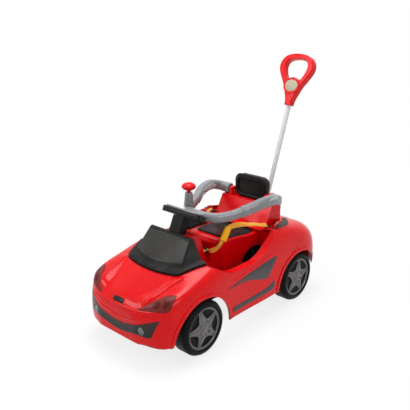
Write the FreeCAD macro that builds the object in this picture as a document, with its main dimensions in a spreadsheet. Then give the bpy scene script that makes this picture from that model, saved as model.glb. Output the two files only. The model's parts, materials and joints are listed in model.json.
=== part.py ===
import FreeCAD, Part
import math
import os
import Sketcher

# A toddler's push car with a parent handle. Millimetres, +Z up, the car faces -Y and
# its left side is +X. The origin is on the floor, under the middle of the outline.

Vec = FreeCAD.Vector
LEFT = 1
RIGHT = -1

SIZES = {
    # Stance
    "front_axle_y": -268.2,
    "wheelbase": 468,
    "tyre_radius": 84,
    "tyre_width": 54,
    "wheel_face_x": 184,
    "running_gap": 0.05,
    "seat_gap": 0.3,
    "play": 0.5,
    "overrun": 20,
    # Wheels and axles
    "tread_wall": 5,
    "tread_shoulder": 11,
    "disc_wall": 4,
    "trim_recess": 7,
    "trim_radius": 65,
    "trim_edge_gap": 1,
    "trim_wall": 4,
    "trim_lip": 7,
    "trim_dish": 3,
    "hub_radius": 14,
    "axle_radius": 5,
    "nut_radius": 9,
    "nut_height": 4,
    "cap_radius": 15,
    "cap_dome": 2.5,
    # Body moulding
    "nose_overhang": 171,
    "tail_overhang": 138,
    "body_half_width": 184,
    "deck_height": 272,
    "sill_height": 66,
    "body_wall": 3,
    "arch_radius": 112,
    "arch_drop": 16,
    "arch_lip_width": 9,
    "arch_lip_proud": 3,
    "door_inner_x": 150,
    "door_lip_drop": 72,
    "bulkhead_drop": 62,
    # Windscreen cowl
    "cowl_base_half": 144,
    "cowl_top_half": 88,
    "cowl_rise": 50,
    "cowl_wall": 3,
    "cowl_round": 5,
    "cowl_flange": 8,
    "cowl_flange_round": 14,
    # Inner moulding with the dash and the saddle
    "dash_half_width": 52,
    "pommel_half_width": 46,
    "saddle_half_width": 76,
    "tub_flare": 18,
    "tub_wall": 3,
    "foot_arch_radius": 62,
    "seat_panel_thickness": 7,
    "seat_panel_inset": 9,
    # Backrest and headrest
    "backrest_half_width": 108,
    "backrest_rise": 64,
    "backrest_wall": 3,
    "guard_lug_width": 10,
    "guard_lug_rise": 28,
    "headrest_width": 128,
    "headrest_depth": 36,
    "headrest_height": 78,
    "headrest_round": 16,
    # Chassis
    "floor_height": 58,
    "floor_thickness": 6,
    "spine_half_width": 45,
    "tray_half_width": 100,
    "post_radius": 10,
    "screw_radius": 5,
    "screw_head": 3,
    # Front axle and steering linkage
    "beam_depth": 32,
    "beam_plate": 6,
    "beam_web": 18,
    "beam_end_margin": 12,
    "kingpin_x": 110,
    "kingpin_radius": 4,
    "knuckle_depth": 26,
    "knuckle_inboard": 12,
    "knuckle_outboard": 14,
    "steer_arm": 60,
    "arm_width": 16,
    "arm_thickness": 8,
    "link_pin_radius": 4,
    "tie_thickness": 5,
    "tie_margin": 5,
    "slot_side_play": 0.7,
    "slot_end_play": 6,
    "crank_slot_play": 9,
    # Steering wheel, shaft and column
    "steer_tilt": 25,
    "steering_rise": 94,
    "shaft_radius": 6,
    "crank_length": 45,
    "crank_width": 14,
    "crank_thickness": 8,
    "crank_above_bearing": 16,
    "bearing_height": 20,
    "bearing_half": 15,
    "yoke_half_width": 83,
    "yoke_front": 16,
    "yoke_rear": 26,
    "yoke_thickness": 18,
    "yoke_plate": 5,
    "tower_half_width": 21,
    "tower_half_depth": 16,
    "tower_wall": 4,
    # Guard ring
    "guard_half_width": 132,
    "guard_width": 28,
    "guard_depth": 32,
    "guard_round": 9,
    "guard_climb": 25,
    "guard_peg_radius": 6,
    "guard_peg_length": 22,
    "bracket_half_width": 24,
    "bracket_thickness": 10,
    # Toy post and push knob
    "post_x": 62,
    "horn_base_radius": 17,
    "horn_top_radius": 12,
    "horn_height": 40,
    "horn_bore_depth": 16,
    "knob_radius": 23,
    "knob_height": 26,
    "knob_stem_radius": 6,
    "knob_travel": 6,
    # Push rod and handle
    "rod_tilt": 19.4,
    "rod_radius": 8,
    "rod_insert": 150,
    "rod_reach": 379,
    "rod_grip": 66,
    "socket_wall": 4,
    "collar_radius": 20,
    "collar_height": 8,
    "handle_half_width": 68,
    "handle_length": 181,
    "handle_thickness": 27,
    "handle_screw_radius": 4,
    # Lap belt
    "strap_width": 17,
    "strap_thickness": 2,
    "buckle_length": 46,
    "buckle_width": 22,
    "buckle_thickness": 9,
    "buckle_lean": 35,
    "anchor_radius": 12,
    "anchor_thickness": 6,
}


class Size:
    """A length with the spreadsheet formula that gives it."""

    def __init__(self, value, formula):
        self.value = float(value)
        self.formula = formula

    def __float__(self):
        return self.value

    def __neg__(self):
        return Size(-self.value, f"-({self.formula})")

    def __add__(self, other):
        return Size(self.value + float(other), f"({self.formula}) + ({text_of(other)})")

    def __radd__(self, other):
        return self + other

    def __sub__(self, other):
        return Size(self.value - float(other), f"({self.formula}) - ({text_of(other)})")

    def __rsub__(self, other):
        return Size(float(other) - self.value, f"({text_of(other)}) - ({self.formula})")

    def __mul__(self, other):
        return Size(self.value * float(other), f"({self.formula}) * ({text_of(other)})")

    def __rmul__(self, other):
        return self * other

    def __truediv__(self, other):
        return Size(self.value / float(other), f"({self.formula}) / ({text_of(other)})")


def text_of(length):
    """The formula of a size, or a plain number as text."""
    return length.formula if isinstance(length, Size) else repr(float(length))


def sine(angle):
    """The sine of an angle in degrees."""
    return Size(math.sin(math.radians(angle.value)), f"sin(({angle.formula}) * 1 deg)")


def cosine(angle):
    """The cosine of an angle in degrees."""
    return Size(math.cos(math.radians(angle.value)), f"cos(({angle.formula}) * 1 deg)")


def tangent(angle):
    """The tangent of an angle in degrees."""
    return Size(math.tan(math.radians(angle.value)), f"tan(({angle.formula}) * 1 deg)")


class Sizes:
    """The driving dimensions, read back from the spreadsheet by name."""

    def __init__(self, document, table):
        self.sheet = document.addObject("Spreadsheet::Sheet", "Sizes")
        for row, (alias, value) in enumerate(table.items(), 1):
            self.sheet.set(f"A{row}", alias)
            self.sheet.set(f"B{row}", str(value))
            self.sheet.setAlias(f"B{row}", alias)
        document.recompute()

    def __getattr__(self, alias):
        return Size(self.sheet.get(alias), f"Sizes.{alias}")


os.makedirs("parts", exist_ok=True)
doc = FreeCAD.newDocument("push_car")
S = Sizes(doc, SIZES)
PARTS = []

rear_axle_y = S.front_axle_y + S.wheelbase
floor_top = S.floor_height + S.floor_thickness


def along(share):
    """A place along the car: 0 at the front axle, 1 at the rear axle."""
    return S.front_axle_y + S.wheelbase * share


def high(share):
    """A height as a share of the deck's height."""
    return S.deck_height * share


def vec(x, y, z):
    """A point from sizes."""
    return Vec(float(x), float(y), float(z))


def kept(obj, label):
    """Name a finished sub-part and keep it for writing."""
    obj.Label = label
    PARTS.append(obj)
    return obj


def bind(obj, prop, length):
    """Set a property from a size, or from a plain zero."""
    if isinstance(length, Size):
        obj.setExpression(prop, length.formula)
    else:
        setattr(obj, prop, length)


def place(obj, x, y, z, turn=None):
    """Set an object's place from sizes, with an optional fixed turn."""
    obj.Placement = FreeCAD.Placement(vec(x, y, z), turn or FreeCAD.Rotation())
    for axis, length in zip("xyz", (x, y, z)):
        if isinstance(length, Size):
            obj.setExpression(f".Placement.Base.{axis}", length.formula)
    return obj


def lean(obj, angle):
    """Lean an object's own Z towards the rear by an angle in degrees."""
    base = obj.Placement.Base
    obj.Placement = FreeCAD.Placement(base, FreeCAD.Rotation(Vec(-1, 0, 0), float(angle)))
    obj.setExpression(".Placement.Rotation.Angle", angle.formula)
    return obj


def box(name, x, y, z):
    """A box between pairs of sizes along each axis."""
    obj = doc.addObject("Part::Box", name)
    for prop, (low, top) in zip(("Length", "Width", "Height"), (x, y, z)):
        bind(obj, prop, top - low)
    return place(obj, x[0], y[0], z[0])


TURNS = {
    "X": FreeCAD.Rotation(Vec(0, 1, 0), 90),
    "Y": FreeCAD.Rotation(Vec(1, 0, 0), -90),
    "Z": FreeCAD.Rotation(),
}


def round_bar(name, radius, length, start, axis):
    """A cylinder from a start point along X, Y or Z."""
    obj = doc.addObject("Part::Cylinder", name)
    bind(obj, "Radius", radius)
    bind(obj, "Height", length)
    return place(obj, *start, TURNS[axis])


def cut(name, base, *tools):
    """Base with each tool cut away in turn."""
    for number, tool in enumerate(tools):
        step = doc.addObject("Part::Cut", f"{name}_cut{number}")
        step.Base = base
        step.Tool = tool
        base = step
    return base


def fuse(name, *shapes):
    """One solid from touching shapes."""
    obj = doc.addObject("Part::MultiFuse", f"{name}_whole")
    obj.Shapes = list(shapes)
    obj.Refine = True
    return obj


def group(name, *shapes):
    """Separate solids that share one node."""
    obj = doc.addObject("Part::Compound", f"{name}_group")
    obj.Links = list(shapes)
    return obj


def feature(name, shape):
    """An object whose shape is made directly."""
    obj = doc.addObject("Part::Feature", name)
    obj.Shape = shape
    return obj


def plane_of(body, role):
    """One of a body's own origin planes."""
    return next(item for item in body.Origin.OriginFeatures if item.Role == role)


def outline(body, name, role, corners):
    """A closed sketch whose corners are bound to sizes."""
    sketch = body.newObject("Sketcher::SketchObject", name)
    sketch.AttachmentSupport = [(plane_of(body, role), "")]
    sketch.MapMode = "FlatFace"
    points = [vec(a, b, 0) for a, b in corners]
    count = len(points)
    for index, point in enumerate(points):
        sketch.addGeometry(Part.LineSegment(point, points[(index + 1) % count]), False)
    for index in range(count):
        sketch.addConstraint(Sketcher.Constraint("Coincident", index, 2, (index + 1) % count, 1))
    for index, corner in enumerate(corners):
        for kind, length in zip(("DistanceX", "DistanceY"), corner):
            rule = Sketcher.Constraint(kind, -1, 1, index, 1, float(length))
            number = sketch.addConstraint(rule)
            if isinstance(length, Size):
                sketch.setExpression(f"Constraints[{number}]", length.formula)
    doc.recompute()
    return sketch


def new_body(name):
    """An empty body."""
    return doc.addObject("PartDesign::Body", f"{name}_body")


def pad(body, sketch, length):
    """Pad a sketch evenly to both sides."""
    step = body.newObject("PartDesign::Pad", f"{sketch.Name}_pad")
    step.Profile = sketch
    step.SideType = "Symmetric"
    bind(step, "Length", length)
    doc.recompute()
    return step


def pocket(body, sketch, length):
    """Pocket a sketch evenly to both sides."""
    step = body.newObject("PartDesign::Pocket", f"{sketch.Name}_pocket")
    step.Profile = sketch
    step.SideType = "Symmetric"
    bind(step, "Length", length)
    doc.recompute()
    return step


def turned(body, sketch):
    """Revolve a sketch about the body's X axis."""
    step = body.newObject("PartDesign::Revolution", f"{sketch.Name}_turned")
    step.Profile = sketch
    step.ReferenceAxis = (sketch, ["H_Axis"])
    doc.recompute()
    return step


def mirrored_points(points):
    """Half of an outline and its mirror image across X = 0, as one loop."""
    return points + [Vec(-p.x, p.y, p.z) for p in reversed(points)]


def polygon(points):
    """A closed wire of straight runs."""
    return Part.makePolygon(points + points[:1])


def spline(points):
    """A smooth edge through points at even parameters."""
    curve = Part.BSplineCurve()
    last = len(points) - 1
    curve.interpolate(Points=points, Parameters=[index / last for index in range(last + 1)])
    return curve.toShape()


# Outer body

# Each station: its place, then half-width and height shares of the sill edge, the waist,
# the upper side, the wing's crest and the bonnet's edge, and the height share of the centre.
NOSE_SHARES = (
    (1.00, (0.30, 1.08), (0.33, 0.37), (0.31, 0.47), (0.27, 0.52), (0.16, 0.54), 0.55),
    (0.965, (0.53, 1.03), (0.57, 0.37), (0.54, 0.52), (0.46, 0.59), (0.21, 0.625), 0.64),
    (0.89, (0.71, 0.98), (0.75, 0.38), (0.71, 0.56), (0.60, 0.645), (0.26, 0.675), 0.69),
    (0.76, (0.85, 0.96), (0.89, 0.39), (0.855, 0.62), (0.73, 0.73), (0.31, 0.72), 0.735),
    (0.55, (0.925, 0.97), (0.965, 0.41), (0.94, 0.675), (0.83, 0.775), (0.42, 0.775), 0.785),
    (0.26, (0.98, 1.00), (1.00, 0.44), (0.965, 0.72), (0.855, 0.82), (0.52, 0.85), 0.86),
)
WAIST_SHARES = (
    (0.02, (0.99, 1.00), (1.00, 0.46), (0.975, 0.75), (0.865, 0.865), (0.62, 0.91), 0.93),
    (0.15, (0.985, 1.00), (0.99, 0.46), (0.965, 0.79), (0.86, 0.915), (0.66, 0.955), 0.99),
    (0.34, (0.97, 1.00), (0.97, 0.44), (0.945, 0.81), (0.85, 0.955), (0.65, 0.985), 1.00),
    (0.56, (0.975, 1.00), (0.98, 0.46), (0.955, 0.83), (0.86, 0.995), (0.65, 1.00), 1.00),
    (0.77, (0.99, 1.06), (1.00, 0.51), (0.975, 0.86), (0.87, 1.02), (0.64, 1.01), 1.00),
    (1.00, (1.00, 1.21), (1.01, 0.55), (0.985, 0.84), (0.85, 0.97), (0.60, 0.985), 0.985),
)
TAIL_SHARES = (
    (0.49, (0.98, 1.36), (0.995, 0.57), (0.955, 0.80), (0.785, 0.915), (0.52, 0.94), 0.95),
    (0.81, (0.87, 1.44), (0.90, 0.57), (0.84, 0.745), (0.68, 0.84), (0.41, 0.86), 0.87),
    (1.00, (0.62, 1.48), (0.66, 0.55), (0.62, 0.68), (0.515, 0.745), (0.30, 0.765), 0.775),
)


def body_section(y, sill, waist, upper, crest, bonnet, centre, inset, drop):
    """One closed cross-section of the body, drawn in by a wall and dropped below the sill."""
    half = float(S.body_half_width)
    deck = float(S.deck_height)
    sill_z = sill[1] * float(S.sill_height) - drop
    side = [Vec(sill[0] * half - inset, y, sill_z), Vec(waist[0] * half - inset, y, waist[1] * deck)]
    side += [Vec(x * half - inset, y, z * deck - inset) for x, z in (upper, crest, bonnet)]
    other = [Vec(-p.x, p.y, p.z) for p in reversed(side)]
    middle = Vec(0, y, centre * deck - inset)
    edges = [spline(side), spline([side[-1], middle, other[0]]), spline(other)]
    edges.append(Part.makeLine(other[-1], side[0]))
    return Part.Wire(edges)


def body_loft(inset, drop):
    """The body's closed outer form, or the same form drawn in by a wall."""
    sections = []
    for share, *rest in NOSE_SHARES:
        end = inset if share == 1 else 0
        y = float(S.front_axle_y) - share * float(S.nose_overhang) + end
        sections.append(body_section(y, *rest, inset, drop))
    for share, *rest in WAIST_SHARES:
        sections.append(body_section(float(along(share)), *rest, inset, drop))
    for share, *rest in TAIL_SHARES:
        end = inset if share == 1 else 0
        y = float(rear_axle_y) + share * float(S.tail_overhang) - end
        sections.append(body_section(y, *rest, inset, drop))
    return Part.makeLoft(sections, True, False)


# The door's upper edge, as shares of the wheelbase and of the deck's height.
BELT_SHARES = ((0.112, 0.92), (0.17, 0.87), (0.235, 0.81), (0.30, 0.783), (0.43, 0.776), (0.535, 0.79),
               (0.61, 0.845), (0.67, 0.915), (0.725, 0.99), (0.775, 1.06))


def belt_tool(drop):
    """Everything above the doors' upper edge, lowered by a wall where asked."""
    reach = float(S.body_half_width + S.overrun)
    top = float(S.deck_height * 2)
    edge = [Vec(-reach, float(along(y)), float(high(z)) - drop) for y, z in BELT_SHARES]
    back = Vec(-reach, edge[-1].y, top)
    front = Vec(-reach, edge[0].y, top)
    sides = [Part.makeLine(edge[-1], back), Part.makeLine(back, front), Part.makeLine(front, edge[0])]
    curve = Part.BSplineCurve()
    curve.interpolate(Points=edge)
    face = Part.Face(Part.Wire([curve.toShape()] + sides))
    return face.extrude(Vec(2 * reach, 0, 0))


def door_wall(side, outer, inner):
    """One door's rolled upper edge with its inner wall."""
    wall = float(S.body_wall)
    reach = float(S.body_half_width + S.overrun)
    inside = float(S.door_inner_x)
    start = float(along(BELT_SHARES[0][0]))
    length = float(along(BELT_SHARES[-1][0])) - start
    low = float(high(BELT_SHARES[3][1]) - S.door_lip_drop)
    tall = float(S.deck_height)

    def slab(x, z):
        corner = Vec(x if side == LEFT else -reach, start, z)
        return Part.makeBox(reach - x, length, tall, corner)

    solid = outer.common(slab(inside, low)).cut(belt_tool(0))
    hollow = inner.common(slab(inside + wall, low - tall / 2)).cut(belt_tool(wall))
    return solid.cut(hollow)


def arch_bar(y, radius, x_low, x_top, side):
    """A bar across one wheel arch."""
    z = float(S.tyre_radius - S.arch_drop)
    start = x_low if side == LEFT else -x_top
    return Part.makeCylinder(radius, x_top - x_low, Vec(start, y, z), Vec(1, 0, 0))


def arch_lip(y, side, proud_form, inner):
    """The raised lip round one wheel arch, following the body's side."""
    x_low = float(S.door_inner_x)
    x_top = float(S.body_half_width + S.overrun)
    ring = arch_bar(y, float(S.arch_radius + S.arch_lip_width), x_low, x_top, side)
    ring = ring.cut(arch_bar(y, float(S.arch_radius - S.play), x_low, x_top, side))
    return ring.common(proud_form).cut(inner)


def body_arches():
    """The place of each wheel arch along the car."""
    return (float(S.front_axle_y), float(rear_axle_y))


def bulkhead(side, outer):
    """The upright wall behind one footwell."""
    wall = float(S.body_wall)
    y = float(along(BELT_SHARES[-1][0])) - wall
    x = float(S.saddle_half_width + S.tub_flare)
    width = float(S.body_half_width) - x
    low = float(S.deck_height - S.bulkhead_drop)
    corner = Vec(x if side == LEFT else -x - width, y, low)
    wall_slab = Part.makeBox(width, wall, float(S.bulkhead_drop), corner)
    return wall_slab.common(outer).cut(tub_plan(-float(S.seat_gap)))


def shaft_hole(radius):
    """A straight bar on the steering axis, for holes."""
    start = steer_point(0, 0, -S.steering_rise * 2)
    direction = Vec(0, float(sine(S.steer_tilt)), float(cosine(S.steer_tilt)))
    return Part.makeCylinder(radius, float(S.steering_rise * 3), vec(*start), direction)


def rod_bar(radius, low, top):
    """A straight bar on the push rod's axis between two places along it."""
    start = rod_point(low)
    direction = Vec(0, float(sine(S.rod_tilt)), float(cosine(S.rod_tilt)))
    return Part.makeCylinder(radius, float(top - low), vec(*start), direction)


def make_body_shell(outer, inner):
    """The outer moulding: bonnet, wings, doors and rear deck."""
    shell = outer.cut([inner, belt_tool(0)])
    walls = [door_wall(LEFT, outer, inner), door_wall(RIGHT, outer, inner)]
    walls += [bulkhead(LEFT, outer), bulkhead(RIGHT, outer)]
    inboard = float(S.spine_half_width + S.tub_flare)
    reach = float(S.body_half_width + S.overrun)
    holes = [arch_bar(y, float(S.arch_radius), inboard, reach, side)
             for y in body_arches() for side in (LEFT, RIGHT)]
    holes.append(shaft_hole(float(S.shaft_radius * 2)))
    holes.append(rod_bar(float(S.rod_radius + S.socket_wall), -S.rod_insert, S.rod_reach))
    proud_form = body_loft(-float(S.arch_lip_proud), -float(S.body_wall / 2))
    lips = [arch_lip(y, side, proud_form, inner) for y in body_arches() for side in (LEFT, RIGHT)]
    shell = shell.fuse(walls).cut(holes).fuse(lips)
    return kept(feature("body_shell", shell.removeSplitter()), "body_shell")


# Windscreen cowl

# The cowl's foot, its top and the flange round the foot. Each is half of an outline: a rear end,
# a corner, then a front curve to the middle, as half-width shares and places along the car.
COWL_FOOT_SHARES = ((1.0, 0.112), (0.735, -0.055), (0.36, -0.102), (0.0, -0.117))
COWL_TOP_SHARES = ((1.0, 0.112), (0.97, 0.0965), (0.485, 0.095), (0.0, 0.0945))
COWL_FLANGE_SHARES = ((0.975, 0.112), (0.74, -0.070), (0.37, -0.099), (0.0, -0.1075))
COWL_FOOT_HEIGHT_SHARE = 0.83


def cowl_outline(shares, half, z, inset):
    """A closed outline with a curved front, drawn in by a wall where asked."""
    side = [vec(half * x, along(y), z) for x, y in shares]
    side = [Vec(max(p.x - inset, 0), p.y + inset, p.z) for p in side]
    side[0].y -= 2 * inset
    other = [Vec(-p.x, p.y, p.z) for p in reversed(side)]
    front = spline(side[1:] + other[1:-1])
    return Part.Wire([Part.makeLine(side[0], side[1]), front, Part.makeLine(other[-2], other[-1]),
                      Part.makeLine(other[-1], side[0])])


def cowl_form(inset):
    """The cowl's closed form, drawn in by a wall where asked."""
    foot = cowl_outline(COWL_FOOT_SHARES, S.cowl_base_half, high(COWL_FOOT_HEIGHT_SHARE), inset)
    top = cowl_outline(COWL_TOP_SHARES, S.cowl_top_half, S.deck_height + S.cowl_rise - inset, inset)
    return Part.makeLoft([foot, top], True, True)


def rounded_cowl():
    """The cowl's outside, with its front and top edges rounded."""
    form = cowl_form(0)
    foot = float(high(COWL_FOOT_HEIGHT_SHARE) + S.play)
    rear = float(along(COWL_FOOT_SHARES[0][1]) - S.play)
    sharp = [edge for edge in form.Edges if edge.BoundBox.ZMax > foot and edge.BoundBox.YMin < rear]
    return form.makeFillet(float(S.cowl_round), sharp)


def cowl_flange(outer):
    """The skirt round the cowl's foot, an even thickness on the bonnet."""
    rim = cowl_outline(COWL_FLANGE_SHARES, S.cowl_base_half, S.floor_height, 0)
    block = Part.Face(rim).extrude(Vec(0, 0, float(S.deck_height)))
    corner = float(S.cowl_base_half * COWL_FLANGE_SHARES[1][0])
    upright = [edge for edge in block.Edges
               if edge.BoundBox.ZLength > float(S.cowl_rise) and edge.BoundBox.XLength < float(S.play)
               and abs(abs(edge.BoundBox.Center.x) - corner) < float(S.play)]
    block = block.makeFillet(float(S.cowl_flange_round), upright)
    return block.common(outer.translated(Vec(0, 0, float(S.cowl_flange + S.seat_gap))))


def make_cowl(outer):
    """The dark windscreen moulding that stands on the bonnet."""
    bed = outer.translated(Vec(0, 0, float(S.seat_gap)))
    cowl = rounded_cowl().fuse(cowl_flange(outer)).cut(cowl_form(float(S.cowl_wall))).cut(bed)
    cowl = cowl.cut(shaft_hole(float(S.shaft_radius * 2)))
    return kept(feature("windscreen_cowl", largest(cowl).removeSplitter()), "windscreen_cowl")


def largest(shape):
    """The largest solid of a shape."""
    return max(shape.Solids, key=lambda solid: solid.Volume)


# Inner moulding

# Side outline of the dash and saddle: shares of the wheelbase and of the deck's height.
TUB_SIDE_SHARES = ((0.115, 0.56), (0.115, 1.11), (0.13, 1.132), (0.235, 1.132), (0.257, 1.08),
                   (0.30, 0.735), (0.348, 0.735), (0.378, 0.955), (0.40, 0.99), (0.53, 0.962),
                   (0.66, 0.941), (0.725, 0.945), (0.76, 0.985), (0.774, 0.985), (0.774, 0.41),
                   (0.36, 0.41), (0.335, 0.56))
SEAT_SPAN_SHARES = (0.47, 0.722)
TUB_PLAN_SHARES = (0.112, 0.30, 0.36, 0.42, 0.62, 0.777)
SADDLE_FRONT_SHARE = 0.93
SADDLE_REAR_SHARE = 1.2
TUB_TOP_SHARE = 1.2
# The two parts of the moulding that open downwards: start, end and the height of their edge.
TUB_OPENING_SHARES = ((0.115, 0.335, 0.56), (0.36, 0.774, 0.41))
DASH_TOP_SHARE = 1.132
FOOT_ARCH_SHARES = (0.735, 0.56)


def tub_side(inset):
    """The side outline across the whole width, drawn in by a wall where asked."""
    reach = float(S.saddle_half_width * 2)
    points = [vec(-reach, along(y), high(z)) for y, z in TUB_SIDE_SHARES]
    wire = polygon(points)
    if inset:
        wire = wire.makeOffset2D(-inset)
    return Part.Face(wire).extrude(Vec(2 * reach, 0, 0))


def tub_plan(inset):
    """The tapered plan of the dash and saddle."""
    halves = (S.dash_half_width, S.dash_half_width, S.pommel_half_width,
              S.saddle_half_width * SADDLE_FRONT_SHARE, S.saddle_half_width,
              S.saddle_half_width * SADDLE_REAR_SHARE)
    wires = []
    for z, flare in ((S.floor_height, S.tub_flare), (high(TUB_TOP_SHARE), S.tub_flare * 0)):
        rim = [vec(half + flare - inset, along(y), z) for half, y in zip(halves, TUB_PLAN_SHARES)]
        wires.append(polygon(mirrored_points(rim)))
    return Part.makeLoft(wires, True, True)


def tub_shadow():
    """Everything right below the dash and saddle's hollow, so that it opens downwards."""
    reach = float(S.saddle_half_width * 2)
    wall = float(S.tub_wall)
    drop = float(S.deck_height)
    slabs = []
    for low, top, height in TUB_OPENING_SHARES:
        start = float(along(low)) + wall
        length = float(along(top)) - wall - start
        z = float(high(height)) + 2 * wall
        slabs.append(Part.makeBox(2 * reach, length, drop, Vec(-reach, start, z - drop)))
    return slabs


def make_tub():
    """The inner moulding: the dash in front and the saddle behind it."""
    wall = float(S.tub_wall)
    outer = tub_side(0).common(tub_plan(0))
    hollow = tub_side(wall).fuse(tub_shadow()).common(tub_plan(wall))
    tub = outer.cut(hollow)
    y, z = FOOT_ARCH_SHARES
    reach = float(S.saddle_half_width * 2)
    start = vec(-reach, along(y), high(z))
    tub = tub.cut(Part.makeCylinder(float(S.foot_arch_radius), 2 * reach, start, Vec(1, 0, 0)))
    tub = tub.cut(shaft_hole(float(S.shaft_radius * 2)))
    return kept(feature("seat_tub", largest(tub)), "seat_tub")


def make_seat_panel():
    """The dark seat panel that lies in the saddle's hollow."""
    thick = float(S.seat_panel_thickness)
    first, last = SEAT_SPAN_SHARES
    inside = [(y, z) for y, z in TUB_SIDE_SHARES[8:12] if first < y < last]
    before = TUB_SIDE_SHARES[8]
    after = TUB_SIDE_SHARES[9]
    slope = (after[1] - before[1]) / (after[0] - before[0])
    start = (first, before[1] + slope * (first - before[0]))
    under = [start] + inside + [(last, TUB_SIDE_SHARES[11][1])]
    half = float(S.saddle_half_width * 2)
    low = [vec(-half, along(y), high(z)) for y, z in under]
    top = [p + Vec(0, 0, thick) for p in low]
    top[0].y += thick
    top[-1].y -= thick
    panel = Part.Face(polygon(low + top[::-1])).extrude(Vec(2 * half, 0, 0))
    panel = panel.common(tub_plan(float(S.seat_panel_inset)))
    return kept(feature("seat_panel", panel), "seat_panel")


# Backrest and headrest

BACKREST_FOOT_SHARE = 0.777
BACKREST_TOP_SHARES = (0.872, 0.975)
BACKREST_REAR_SHARE = 0.970
BACKREST_SLANT_SHARE = 1.6
HEADREST_SHARE = 0.943


def backrest_corners(inset):
    """The backrest's side outline, drawn in by a wall where asked."""
    top = S.deck_height + S.backrest_rise
    foot = S.deck_height - S.overrun
    front, rear = BACKREST_TOP_SHARES
    slant = inset * BACKREST_SLANT_SHARE
    return ((along(BACKREST_FOOT_SHARE) + slant, foot), (along(front) + slant, top - inset),
            (along(rear) - inset, top - inset), (along(BACKREST_REAR_SHARE) - inset, foot))


def make_backrest(outer):
    """The hollow backrest that stands on the deck, with lugs beside the guard's ends."""
    body = new_body("backrest")
    pad(body, outline(body, "backrest_side", "YZ_Plane", backrest_corners(S.running_gap * 0)),
        S.backrest_half_width * 2)
    inner = outline(body, "backrest_hollow", "YZ_Plane", backrest_corners(S.backrest_wall))
    pocket(body, inner, (S.backrest_half_width - S.backrest_wall) * 2)
    top = S.deck_height + S.backrest_rise
    lug_x = S.backrest_half_width - S.guard_width
    lugs = []
    for side in (LEFT, RIGHT):
        near = lug_x - S.guard_lug_width - S.play
        span = (near, lug_x - S.play) if side == LEFT else (S.play - lug_x, -near)
        run = (along(BACKREST_TOP_SHARES[0]) + S.backrest_wall, along(BACKREST_TOP_SHARES[1]))
        lugs.append(box(f"guard_lug{side}", span, run, (top - S.backrest_wall, top + S.guard_lug_rise)))
    bed = feature("deck_bed", outer.translated(Vec(0, 0, float(S.seat_gap))))
    holes = [guard_peg_bar(side, S.guard_peg_radius + S.running_gap, S.overrun, "backrest")
             for side in (LEFT, RIGHT)]
    rod = feature("backrest_rod_room", rod_bar(float(S.collar_radius + S.play), -S.rod_insert, S.rod_reach))
    whole = fuse("backrest", body, *lugs)
    return kept(cut("backrest", whole, bed, rod, *holes), "backrest")


def make_headrest():
    """The dark headrest on the backrest's top edge."""
    block = doc.addObject("Part::Box", "headrest_block")
    bind(block, "Length", S.headrest_width)
    bind(block, "Width", S.headrest_depth)
    bind(block, "Height", S.headrest_height)
    place(block, -S.headrest_width / 2, along(HEADREST_SHARE) - S.headrest_depth / 2,
          S.deck_height + S.backrest_rise + S.seat_gap)
    doc.recompute()
    rounded = doc.addObject("Part::Fillet", "headrest_rounded")
    rounded.Base = block
    radius = float(S.headrest_round)
    rounded.Edges = [(number + 1, radius, radius) for number in range(len(block.Shape.Edges))]
    return kept(rounded, "headrest")


# Wheels

SIDES = {"left": LEFT, "right": RIGHT}
TRIM_SPOKES = 5
# The tyre's rounded edges, as shares of the shoulder's height.
BACK_EDGE_SHARES = (0.4, 0.5)
FACE_EDGE_SHARE = 0.35
CAP_FOOT_SHARE = 1.6
CAP_TOP_SHARE = 0.8
# One window between two spokes: radius shares of the trim and half-angles in degrees.
WINDOW_SHARES = ((0.36, 5), (0.50, 12), (0.80, 25.5), (0.86, 22), (0.86, -22), (0.80, -25.5),
                 (0.50, -12), (0.36, -5))


def make_wheel(name, side, axle_y):
    """A black wheel: tread, disc and hub in one moulding, turned about the axle."""
    body = new_body(f"{name}_wheel")
    bore = S.axle_radius + S.running_gap
    disc = S.trim_recess
    back = S.tyre_width
    hub_end = S.wheel_face_x - S.kingpin_x - S.knuckle_outboard - S.play
    rim = S.tyre_radius - S.tread_wall
    seat = S.trim_radius + S.trim_edge_gap
    edge_drop, edge_run = (S.tread_shoulder * share for share in BACK_EDGE_SHARES)
    bevel = S.tread_shoulder * FACE_EDGE_SHARE
    depths = ((hub_end, bore), (hub_end, S.hub_radius), (disc + S.disc_wall, S.hub_radius),
              (disc + S.disc_wall, rim), (back, rim), (back, S.tyre_radius - edge_drop),
              (back - edge_run, S.tyre_radius), (S.tread_shoulder, S.tyre_radius),
              (bevel, S.tyre_radius - bevel), (S.tread_shoulder * 0, S.tyre_radius - S.tread_shoulder),
              (S.tread_shoulder * 0, seat), (disc, seat), (disc, bore))
    corners = [(-side * depth, radius) for depth, radius in depths]
    turned(body, outline(body, f"{name}_wheel_outline", "XZ_Plane", corners))
    place(body, side * S.wheel_face_x, axle_y, S.tyre_radius)
    return kept(body, f"{name}_wheel")


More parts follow.
